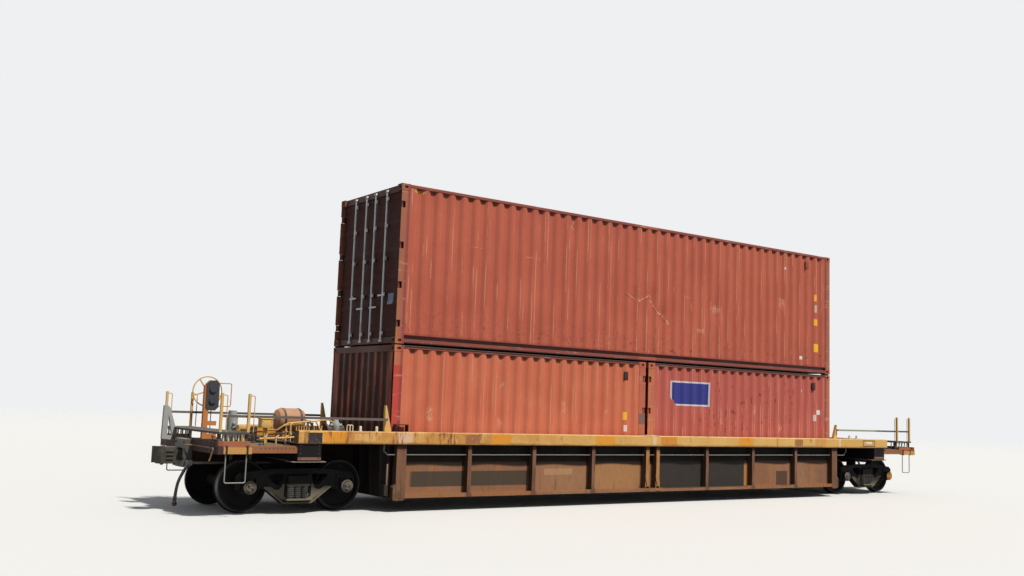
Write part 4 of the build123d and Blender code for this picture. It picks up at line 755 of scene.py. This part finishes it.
# Container skins: corrugated sheets with rounded folds and dents, in place of the plain ones
def wave(count, margin, pitch, flat, slope, depth, span):
    """Corners of one corrugated line, as (distance, depth)."""
    corners = [(0, 0)]
    for i in range(count):
        s = margin + i * pitch
        corners += [(s, 0), (s + flat, 0), (s + flat + slope, depth), (s + pitch - slope, depth)]
    end = margin + count * pitch
    return corners + [(end, 0), (end + flat, 0), (span, 0)]


def dented(x, z, dents):
    """How far a wall is pushed in at a place."""
    push = 0.0
    for dx, dz, wide, high, deep in dents:
        away = ((x - dx) / wide) ** 2 + ((z - dz) / high) ** 2
        if away < 4:
            push += deep * math.exp(-1.6 * away)
    return push


SHEET, SHEET_ROWS = 0.004, 20


def corrugated(form, corners, place, low, high, dents=()):
    """A corrugated sheet; place turns (distance, depth, height) into a point."""
    line = [(p.x, p.y) for p in bent([(a, b, 0) for a, b in corners], 0.016, 2)]
    span = line[-1][0]
    rings = []
    for row in range(SHEET_ROWS + 1):
        z = low + (high - low) * row / SHEET_ROWS
        calm = min(1.0, min(z - low, high - z) / 0.12)
        front, back = [], []
        for s, d in line:
            at = place(s, 0, z)
            ease = calm * min(1.0, min(s, span - s) / 0.15)
            ripple = 0.0022 * (1 + noise.noise(Vector((at.x * 1.7, at.y, z * 1.3))))
            push = ease * (dented(at.x, z, dents) + ripple)
            front.append(form.verts.new(place(s, d + push, z)))
            back.append(form.verts.new(place(s, d + push + SHEET, z)))
        rings.append(front + back[::-1])
    skin(form, rings)


# Dents of the near walls, as (x, z, width, height, depth)
DENTS_40 = (
    (-0.4, 4.25, 0.16, 0.14, 0.02), (0.1, 4.3, 0.18, 0.16, 0.024), (0.42, 3.92, 0.2, 0.16, 0.022),
    (2.1, 4.2, 0.3, 0.25, 0.014), (-2.1, 5.5, 0.12, 0.16, 0.02), (-4.6, 3.6, 0.5, 0.3, 0.01),
    (4.4, 4.5, 0.3, 0.3, 0.01),
)
DENTS_20 = (
    (-3.7, 2.2, 0.2, 0.2, 0.012), (-2.2, 1.8, 0.3, 0.3, 0.012), (1.8, 2.1, 0.3, 0.3, 0.014),
    (4.2, 1.7, 0.35, 0.3, 0.012),
)
WALL_Y = 1.216
POST_LONG = 0.178
END_FOLDS, END_PITCH, END_FLAT, END_SLOPE, END_DEPTH = 8, 0.25, 0.07, 0.035, 0.042


def container_skins(form, start, way, folds, margin, length, base, tall, dents):
    """The two corrugated side walls and the blind end of one container."""
    corners = wave(folds, margin, FOLD_PITCH, FOLD_FLAT, FOLD_SLOPE, FOLD_DEPTH, length - 2 * POST_LONG)
    for side in SIDES:
        corrugated(form, corners,
                   lambda s, d, z: Vector((start + way * (POST_LONG + s), side * (WALL_Y - 0.006 - d), z)),
                   base + 0.165, base + tall - 0.063, dents if side < 0 else ())
    half = WALL_Y - 0.06
    margin = (2 * half - END_FOLDS * END_PITCH - END_FLAT) / 2
    corners = wave(END_FOLDS, margin, END_PITCH, END_FLAT, END_SLOPE, END_DEPTH, 2 * half)
    far = start + way * (length - 0.008)
    corrugated(form, corners, lambda s, d, z: Vector((far - way * d, s - half, z)),
               base + 0.118, base + tall - 0.118)


form = bmesh.new()
container_skins(form, -6.096, 1, 42, 0.044, 12.192, UPPER_Z, UPPER_TALL, DENTS_40)
piece("box40_skins", form, "box40_paint", stands_for=("box40_walls",), smooth=50)
form = bmesh.new()
for way in (-1, 1):
    container_skins(form, way * 0.038, way, 20, 0.035, 6.058, LOWER_Z, LOWER_TALL, DENTS_20)
piece("box20_skins", form, "box20_paint", stands_for=("box20_walls",), smooth=50)

# Small vents high on the walls, near the ends: a pressed hood with slots under it
form = bmesh.new()
for x, z, side in ((s * x, z, -s) for x, z in ((5.24, 5.56), (5.5, 2.62), (-0.58, 2.6)) for s in SIDES):
    wall = side * (WALL_Y - 0.004)
    block(form, (x - 0.055, wall, z - 0.09), (x + 0.055, wall - side * 0.03, z + 0.09), 0.006)
    for i in range(4):
        low = z - 0.07 + i * 0.038
        stood(form, x, wall - side * 0.002, 0.042, 0.003, low, low + 0.012, 0.001)
piece("wall_vents", form, "box40_paint", finish="box40_frame")

# Springs: two rows of three helical coils in each side frame
COIL_TURNS, COIL_STEPS, COIL_TALL, COIL_RADIUS, WIRE = 5.5, 16, 0.205, 0.0455, 0.0125
for end, name in ENDS:
    form = bmesh.new()
    for x, y in ((x, side * y) for side in SIDES for y in (1.084, 0.915) for x in (-0.125, 0, 0.125)):
        base = Vector((end * TRUCK_X + x, y, 0.25))
        line = []
        for i in range(int(COIL_TURNS * COIL_STEPS) + 1):
            angle = 2 * math.pi * i / COIL_STEPS
            rise = WIRE + (COIL_TALL - 2 * WIRE) * i / (COIL_TURNS * COIL_STEPS)
            line.append(base + Vector((math.cos(angle) * COIL_RADIUS, math.sin(angle) * COIL_RADIUS, rise)))
        pipe(form, line, WIRE, 0, 8)
        disc(form, base, UP, 0.024, COIL_TALL, 10)
        disc(form, base, UP, 0.057, 0.01, 18)
        disc(form, base + Vector((0, 0, COIL_TALL - 0.01)), UP, 0.057, 0.01, 18)
    truck = f"truck_{name}"
    piece(f"{truck}_coils", form, "cast_steel", truck, "spring_steel", (f"{truck}_springs",))

# Bearing caps: three bolts on a locking plate, on the ends of every axle
CAP_RIM = ((0, 0.1075), (0.004, 0.1085), (0.008, 0.106), (0.014, 0.094))
for end, name, number, way in ((*e, *w) for e in ENDS for w in ((1, -1), (2, 1))):
    for side, which in ((-1, "near"), (1, "far")):
        form = bmesh.new()
        centre = Vector((end * TRUCK_X + way * HALF_WHEELBASE, side * 1.18, AXLE_Z))
        out = Vector((0, side, 0))
        turned(form, centre - out * 0.016, out, CAP_RIM, 40)
        turned(form, centre - out * 0.002, out, ((0, 0.074), (0.006, 0.073), (0.008, 0.066)), 32)
        turned(form, centre, out, ((0, 0.02), (0.012, 0.018), (0.014, 0.012)), 16)
        for a, b in round_about(3, 0.045, 115 if end == way else 145):
            bolt(form, centre + out * 0.006 + Vector((a, 0, b)), out, 0.019, 0.018)
        finish = "cap_orange" if (end, way, side) == (1, 1, -1) else "cap_steel"
        piece(f"axle_cap_{name}{number}_{which}", form, "wheel_steel", f"wheelset_{name}{number}", finish)

# Side frames: cast ribs, the faces of the tension members and the spring seat's rim, on both trucks
TENSION_PLATES = (
    ((0.592, 0.447), (0.262, 0.229), (0.2, 0.229), (0.2, 0.263), (0.482, 0.447)),
    ((0.24, 0.53), (0.264, 0.53), (0.284, 0.44), (0.33, 0.4), (0.4, 0.394), (0.3, 0.329), (0.24, 0.29)),
)
CAST_RIB = ((0.215, 0.70), (0.62, 0.675), (0.8, 0.625))
SEAT_RIM = ((-0.205, 0.318), (-0.165, 0.291), (0.165, 0.291), (0.205, 0.318))
for end, name in ENDS:
    centre = end * TRUCK_X
    form = bmesh.new()
    for side in SIDES:
        face = side * 1.0735
        for way in (-1, 1):
            pipe(form, [(centre + way * x, face, z) for x, z in CAST_RIB], 0.009, 0.05, 8)
            for corners in TENSION_PLATES:
                corners = [(centre + way * x, z) for x, z in corners]
                prism(form, corners, face - side * 0.004, face + side * 0.009)
            for x, z in ((0.7, 0.61), (0.76, 0.5), (1.0, 0.61), (1.012, 0.5)):
                bolt(form, (centre + way * x, side * 1.0875, z), (0, side, 0), 0.014, 0.012)
        pipe(form, [(centre + x, face + side * 0.006, z) for x, z in SEAT_RIM], 0.008, 0.04, 8)
    piece(f"truck_{name}_cast_marks", form, "cast_steel", f"truck_{name}")

# Couplers: the knuckle's pin with its cotter, and a lug under the head
COUPLER_X = 9.47
for end, name in ENDS:
    form = bmesh.new()
    x, y = end * (COUPLER_X + 0.238), end * 0.108
    turned(form, (x, y, 1.036), UP, ((-0.005, 0.036), (0.012, 0.036), (0.02, 0.03), (0.022, 0.014)))
    block(form, (x - 0.07, y - 0.03, 1.034), (x + 0.03, y + 0.03, 1.042))
    turned(form, (x, y, 0.766), DOWN, ((-0.005, 0.03), (0.012, 0.028), (0.02, 0.02)), 20)
    stood(form, end * COUPLER_X, 0, 0.02, 0.02, 0.735, 0.79, 0.006)
    piece(f"knuckle_pin_{name}", form, "cast_steel", f"coupler_{name}", "coupler_steel")

# Brake gear and piping on the deck of the hand brake end
form = bmesh.new()
for points, radius, bend in (
    (((-7.975, -0.9, 1.431), (-7.875, -0.9, 1.481), (-7.139, -0.9, 1.553), (-7.05, -0.9, 1.5)), 0.013, 0.05),
    (((-7.85, -0.93, DECK_TOP), (-7.85, -0.93, 1.48), (-7.4, -0.93, 1.53), (-7.2, -0.93, DECK_TOP + 0.02)),
     0.014, 0.05),
    (((-7.9, -0.86, DECK_TOP), (-7.9, -0.86, 1.44), (-7.6, -0.86, 1.46), (-7.55, -0.6, 1.46),
      (-7.55, -0.4, 1.42)), 0.016, 0.04),
    (((-7.975, -0.9, 1.431), (-8.06, -0.86, 1.36), (-8.1, -0.6, 1.35), (-8.1, -0.5, 1.39)), 0.013, 0.04),
    (((-7.75, -0.9, 1.352), (-7.25, -0.9, 1.352), (-7.2, -0.9, 1.3), (-7.2, -0.9, DECK_TOP)), 0.013, 0.04),
    (((-8.42, -1.0, 1.22), (-7.95, -1.0, 1.24), (-7.7, -1.0, 1.26), (-7.3, -1.0, 1.26), (-6.3, -1.0, 1.2)),
     0.016, 0.06),
):
    pipe(form, points, radius, bend)
for i in range(11):
    x = -7.734 + i * 0.0463
    pipe(form, ((x, -0.9, 1.361), (x, -0.9, 1.436)), 0.011, 0, 8)
    disc(form, (x, -0.9, 1.425), UP, 0.016, 0.014, 6)
for x, y, z in ((-7.85, -0.93, 1.3), (-7.9, -0.86, 1.34), (-7.2, -0.9, 1.27), (-7.5, -0.93, 1.516)):
    disc(form, (x, y, z - 0.022), UP, 0.022, 0.044, 8)
    pipe(form, ((x, y - 0.05, z), (x, y + 0.05, z)), 0.01, 0, 8)
for x in (-8.35, -8.15, -7.98):
    pipe(form, ((x, -1.05, FLOOR_TOP), (x, -1.05, 1.25), (x + 0.05, -1.05, 1.28)), 0.014, 0.03)
piece("deck_pipes", form, "yellow_paint")

form = bmesh.new()
block(form, (-8.224, -0.58, 1.383), (-8.015, -0.42, 1.541), 0.008)
block(form, (-8.235, -0.59, 1.53), (-8.004, -0.41, 1.545))
block(form, (-8.773, -0.98, 1.368), (-8.573, -0.82, 1.439), 0.008)
stood(form, -8.12, -0.5, 0.03, 0.03, FLOOR_TOP, 1.384)
stood(form, -8.66, -0.9, 0.04, 0.04, FLOOR_TOP, 1.369)
for x, z in ((-8.2, 1.41), (-8.04, 1.41), (-8.2, 1.5), (-8.04, 1.5)):
    bolt(form, (x, -0.581, z), NEARWARD, 0.008, 0.007)
piece("gear_boxes", form, "yellow_paint")

form = bmesh.new()
turned(form, (-7.006, -0.9, DECK_TOP), UP,
       ((0, 0.07), (0.015, 0.07), (0.018, 0.035), (0.18, 0.035), (0.2, 0.06), (0.27, 0.072), (0.32, 0.07),
        (0.35, 0.05), (0.375, 0.045), (0.388, 0.02)), 20)
pipe(form, ((-7.103, -0.9, 1.46), (-6.91, -0.9, 1.46)), 0.028, 0, 12)
for x in (-7.103, -6.91):
    disc(form, (x - 0.01, -0.9, 1.46), ALONG, 0.036, 0.02, 6)
for z in (1.44, 1.36, 1.28):
    turned(form, (-8.52, -0.115, z), NEARWARD, ((-0.02, 0.03), (0.012, 0.03), (0.016, 0.022)), 12)
for a, b in round_about(8, 0.083):
    bolt(form, (-8.52 + a, b, 1.57), UP, 0.008, 0.008)
piece("valve_bodies", form, "grey_paint", finish="valve_paint")

# Tank straps, a drain cock and pipes from the tank to the cylinder and the valve
form = bmesh.new()
for x in (-7.60, -7.30):
    band(form, (x - 0.02, 0.06, 1.505), ALONG, 0.2155, 0.2185, 0.04, 48)
turned(form, (-7.452, 0.06, 1.298), DOWN, ((-0.02, 0.02), (0.03, 0.02), (0.032, 0.01), (0.06, 0.01)), 10)
pipe(form, ((-7.17, 0.06, 1.505), (-7.08, 0.06, 1.505), (-7.05, -0.1, 1.4), (-6.99, -0.3, 1.3)), 0.016)
pipe(form, ((-7.73, 0.06, 1.505), (-7.83, 0.06, 1.505), (-7.9, 0.03, 1.3), (-8.4, 0.0, 1.3)), 0.016, 0.06)
for a, b in round_about(6, 0.13):
    bolt(form, (-6.99, -0.43 + a, 1.327 + b), (-1, 0, 0), 0.011, 0.01)
piece("brake_fittings", form, "side_paint", finish="dark_steel")

# Deck straps with their rivets, pads with lifting eyes, and cross bars at the deck's end
form = bmesh.new()
for end in (-1, 1):
    for x in (6.45, 7.02, 7.6):
        for y0, y1 in ((-1.26, -0.62), (-0.6, -0.3), (0.34, 1.26)) if end < 0 else ((-1.26, 1.26),):
            block(form, (end * x - 0.035, y0, IN_DECK), (end * x + 0.035, y1, DECK_TOP + 0.006), 0.002)
            for i in range(int((y1 - y0) / 0.15)):
                rivet(form, (end * x, y0 + 0.07 + i * 0.15, DECK_TOP + 0.006), UP, 0.011)
    for x, y in ((end * x, side * 1.22) for side in SIDES for x in (8.02, 8.46)):
        stood(form, x, y, 0.05, 0.04, IN_FLOOR, FLOOR_TOP + 0.012)
        pipe(form, ((x - 0.03, y, FLOOR_TOP + 0.01), (x - 0.03, y, FLOOR_TOP + 0.07),
                    (x + 0.03, y, FLOOR_TOP + 0.07), (x + 0.03, y, FLOOR_TOP + 0.01)), 0.01, 0.02, 8)
    for y in (-0.62, 0.0, 0.62) if end > 0 else (0.62,):
        stood(form, end * 8.05, y, 0.02, 0.24, IN_FLOOR, FLOOR_TOP + 0.03, 0.003)
piece("deck_straps", form, "side_paint", finish="dark_steel")

# Brake rigging on the deck: push rod, lever and pull rods, pipe brackets, dirt collector, pipes of the valve
form = bmesh.new()
pipe(form, ((-6.99, -0.43, 1.327), (-7.16, -0.43, 1.327)), 0.02, 0, 12)
block(form, (-7.2, -0.47, 1.3), (-7.13, -0.39, 1.355), 0.006)
block(form, (-7.19, -0.8, 1.316), (-7.14, -0.1, 1.338), 0.006)
for y in (-0.78, -0.43, -0.13):
    turned(form, (-7.165, y, 1.29), UP, ((0, 0.016), (0.07, 0.016), (0.072, 0.024), (0.082, 0.024)), 10)
pipe(form, ((-7.18, -0.13, 1.3), (-7.9, -0.2, 1.27), (-8.34, -0.22, 1.16), (-8.4, -0.22, 1.1)), 0.014)
pipe(form, ((-7.15, -0.78, 1.3), (-6.6, -0.8, 1.26), (-6.3, -0.8, 1.18)), 0.014)
for x, y, top in ((-7.3, -0.9, 1.34), (-7.62, -0.9, 1.34), (-7.46, -0.93, 1.5), (-7.02, -1.0, 1.24),
                  (-7.9, -1.0, 1.23)):
    stood(form, x, y, 0.018, 0.01, IN_DECK, top, 0.003)
    stood(form, x, y, 0.04, 0.035, IN_DECK, DECK_TOP + 0.008, 0.002)
block(form, (-8.36, 0.3, IN_FLOOR), (-8.2, 0.44, 1.27), 0.01)
block(form, (-8.37, 0.29, 1.262), (-8.19, 0.45, 1.28))
turned(form, (-8.28, -0.42, FLOOR_TOP), UP,
       ((0, 0.05), (0.02, 0.05), (0.03, 0.04), (0.12, 0.045), (0.15, 0.03)), 18)
pipe(form, ((-8.52, -0.12, 1.36), (-8.52, -0.2, 1.36), (-8.5, -0.26, 1.2), (-8.5, -0.26, 1.12)), 0.017, 0.06)
pipe(form, ((-8.52, -0.12, 1.28), (-8.52, -0.3, 1.28), (-8.3, -0.42, 1.24)), 0.015)
pipe(form, ((-8.52, 0.11, 1.3), (-8.52, 0.25, 1.3), (-8.36, 0.36, 1.2)), 0.015)
for x, y in ((-7.66, -0.45), (-7.5, -0.62), (-7.74, -0.66)):
    stood(form, x, y, 0.05, 0.04, IN_DECK, DECK_TOP + 0.16, 0.008)
    pipe(form, ((x, y - 0.05, 1.272), (x, y - 0.12, 1.272), (x, y - 0.12, DECK_TOP)), 0.012, 0.03, 8)
piece("deck_rigging", form, "cast_steel", finish="dark_steel")

# Chords: tie stubs, small loops, a pale plate in the middle, the frames of two recesses, a blank plate
form = bmesh.new()
for side in SIDES:
    for x in (-6.786, -6.474, 6.62, 6.9):
        turned(form, (x, side * 1.4, CHORD_TOP), UP,
               ((0, 0.032), (0.008, 0.032), (0.01, 0.024), (0.075, 0.024), (0.088, 0.016)), 14)
    for x in (-7.0, -6.95):
        inner, outer, top = side * 1.36, side * 1.38, 1.48
        pipe(form, ((x - 0.02, inner, CHORD_TOP), (x - 0.02, inner, top), (x + 0.03, outer, top),
                    (x + 0.03, outer, CHORD_TOP)), 0.009, 0.025, 8)
piece("chord_stubs", form, "chord_paint", finish="cream_paint")
form = bmesh.new()
for inner, outer in ((-1.34, -1.492), (1.34, 1.49)):
    block(form, (-0.3, inner, CHORD_TOP), (0.14, outer, 1.386), 0.002)
piece("middle_plates", form, "chord_paint", finish="cream_paint")
form = bmesh.new()
RIM = 0.014
for side in SIDES:
    for left, right, low, high in ((-7.775, -7.525, 1.178, 1.348), (7.04, 7.52, 1.205, 1.35)):
        for x0, x1, z0, z1 in ((left, right, low, low + RIM), (left, right, high - RIM, high),
                               (left, left + RIM, low, high), (right - RIM, right, low, high)):
            block(form, (x0, side * 1.4885, z0), (x1, side * 1.494, z1), 0.0015)
piece("recess_frames", form, "chord_paint", finish="dark_steel")
form = bmesh.new()
for side in SIDES:
    block(form, (7.16, side * 1.4885, 1.25), (7.4, side * 1.4915, 1.31), 0.001)
piece("blank_plates", form, "chord_paint", finish="blank_plate")

# Bolts and rivets of the car body
form = bmesh.new()
for side in SIDES:
    outward = (0, side, 0)
    for centre in (-TRUCK_X, TRUCK_X):
        for i in range(5):
            bolt(form, (centre - 0.24 + i * 0.12, side * 1.44, 0.8625), DOWN, 0.013, 0.012)
        for x, z in ((x, z) for z in (0.93, 1.0, 1.07, 1.13) for x in (-0.165, 0.165)):
            rivet(form, (centre + x, side * 1.47, z), outward, 0.011)
    for x in (-5.98, 5.98, -4.555, -3.085, -1.61, 1.61, 3.085, 4.555):
        for off, z in ((-0.02, 1.13), (0.02, 1.13), (-0.02, 1.09), (0.02, 1.09)):
            rivet(form, (x + off, side * 1.445, z), outward, 0.008)
    for end in (-1, 1):
        for i in range(9):
            rivet(form, (end * (8.0 + i * 0.07), side * 1.45, 1.09), outward, 0.009)
        for y, z in ((y, z) for y in (0.45, 0.62, 0.95, 1.12, 1.36) for z in (1.155, 1.02)):
            rivet(form, (end * 9.265, side * y, z), (end, 0, 0))
        for y, z in ((0.2, 0.85), (0.2, 1.12), (0.23, 1.0)):
            bolt(form, (end * 9.39, side * y, z), (end, 0, 0), 0.016, 0.014)
piece("body_fasteners", form, "side_paint", finish="dark_steel")

# Cream blocks and bolts under the walkways, along their edges
OUTER_BOLT = ((0, 0.022), (0.03, 0.022), (0.03, 0.013), (0.15, 0.013), (0.15, 0.02), (0.174, 0.02))
INNER_BOLT = ((0, 0.02), (0.03, 0.02), (0.03, 0.012), (0.174, 0.012))
form = bmesh.new()
for side in SIDES:
    for end, first, last in ((-1, 8.83, 9.16), (1, 8.63, 9.08)):
        for i in range(5):
            x = end * (first + (last - first) * i / 4)
            turned(form, (x, side * 1.36, FLOOR_TOP), UP, OUTER_BOLT, 10)
            turned(form, (x, side * 1.2, FLOOR_TOP), UP, INNER_BOLT, 8)
piece("walkway_bolts", form, "grey_paint", finish="cream_paint")

# Walkway grip: raised dimples in rows between the slots, clear of the post at the hand brake end
form = bmesh.new()
for end, x_in, x_out in ((-1, 8.75, 9.255), (1, 8.54, 9.2)):
    for row in range(17):
        y = -1.12 + row * 0.14
        for i in range(6):
            x = end * (x_in + 0.06 + i * (x_out - x_in - 0.12) / 5)
            if abs(y - 0.815) > 0.06 or x > -9.18:
                turned(form, (x, y, 1.335), UP, ((0, 0.012), (0.004, 0.009), (0.005, 0.003)), 8)
piece("walkway_dimples", form, "grey_paint", finish="walkway_paint")

# Light strips beside the end posts, small hooks at the twin posts' feet
form = bmesh.new()
for side in SIDES:
    face = side * 1.452
    for end in (-1, 1):
        block(form, (end * 6.1725, side * 1.3, 0.45), (end * 6.2, side * 1.328, 0.82))
    for x in (-TWIN_POST, TWIN_POST):
        pipe(form, ((x - 0.062, face, 0.58), (x - 0.05, face, 0.47), (x - 0.012, face, 0.37)), 0.007, 0.04, 8)
        pipe(form, ((x - 0.05, side * 1.44, 0.58), (x - 0.062, face, 0.58)), 0.007, 0, 8)
piece("light_strips", form, "grey_paint", finish="strip_paint")

# Straps with two bolts at the ends of the step brackets' bars
form = bmesh.new()
for x, side in ((x, side) for side in SIDES for x in (-9.13, -8.79, 8.765, 9.06)):
    block(form, (x - 0.018, side * 1.452, 0.985), (x + 0.018, side * 1.466, 1.13), 0.003)
    for z in (1.105, 1.025):
        bolt(form, (x, side * 1.466, z), (0, side, 0), 0.009, 0.008)
piece("step_straps", form, "sill_paint", finish="dark_steel")

# Rods and levers of the brake rigging: under the draft sills and beside the hand brake
form = bmesh.new()
pipe(form, ((-8.512, 1.1, 1.63), (-8.512, 1.1, 1.2), (-8.4, 1.0, 1.14)), 0.009, 0.05, 8)
pipe(form, ((-8.525, 1.255, 1.968), (-8.525, 1.33, 1.968)), 0.02, 0, 12)
for end in (-1, 1):
    pipe(form, ((end * 6.4, 0.24, 0.7), (end * 7.3, 0.24, 0.66)), 0.013, 0, 8)
    stood(form, end * 6.4, 0.23, 0.02, 0.03, 0.62, 0.92)
piece("brake_rigging", form, "cast_steel", finish="dark_steel")


def seen(tree):
    """1 for rays from the camera, from reflections and through glass, 0 for light that bounces."""
    rays = add_node(tree, "LightPath").outputs
    first, *others = (Value(rays[f"Is {kind} Ray"]) for kind in ("Camera", "Glossy", "Transmission"))
    return first | others[0] | others[1]


# Floor that fades out far away: pale to the camera and in reflections, dark to light that bounces off it
floor_mesh = bpy.data.meshes.new("floor")
form = bmesh.new()
bmesh.ops.create_circle(form, cap_ends=True, segments=96, radius=400)
form.to_mesh(floor_mesh)
form.free()
floor = add_object("floor", floor_mesh)
s = Shader("floor")
s.colour = s.mix(seen(s.tree), (0.12, 0.115, 0.11, 1), (0.56, 0.56, 0.55, 1))
s.rough = 0.9
s.finish()
blend = add_node(s.tree, "MixShader", Fac=(s.x * s.x + s.y * s.y).math("SQRT").step(30, 110))
put(blend.inputs[1], s.surface.outputs[0])
put(blend.inputs[2], add_node(s.tree, "BsdfTransparent").outputs[0])
put(s.output.inputs[0], blend.outputs[0])
floor_mesh.materials.append(s.material)

# Pale backdrop for the camera and reflections, even fill and one soft sun for the object
world = bpy.data.worlds.new("world")
bpy.context.scene.world = world
world.use_nodes = True
tree = world.node_tree
tree.nodes.clear()
choose = add_node(tree, "MixShader", Fac=seen(tree))
for index, colour, strength in ((1, (0.88, 0.94, 1.0, 1), 0.33), (2, (0.86, 0.87, 0.88, 1), 1.0)):
    put(choose.inputs[index], add_node(tree, "Background", Color=colour, Strength=strength).outputs[0])
add_node(tree, "OutputWorld", Surface=choose.outputs[0])

sun = add_object("sun", bpy.data.lights.new("sun", "SUN"))
sun.data.energy = 4.7
sun.data.angle = math.radians(4)
sun.data.color = (1.0, 0.97, 0.92)
sun.rotation_euler = Vector((0.45, -1.0, 1.95)).to_track_quat("Z", "Y").to_euler()
bpy.context.scene.view_settings.view_transform = "Standard"
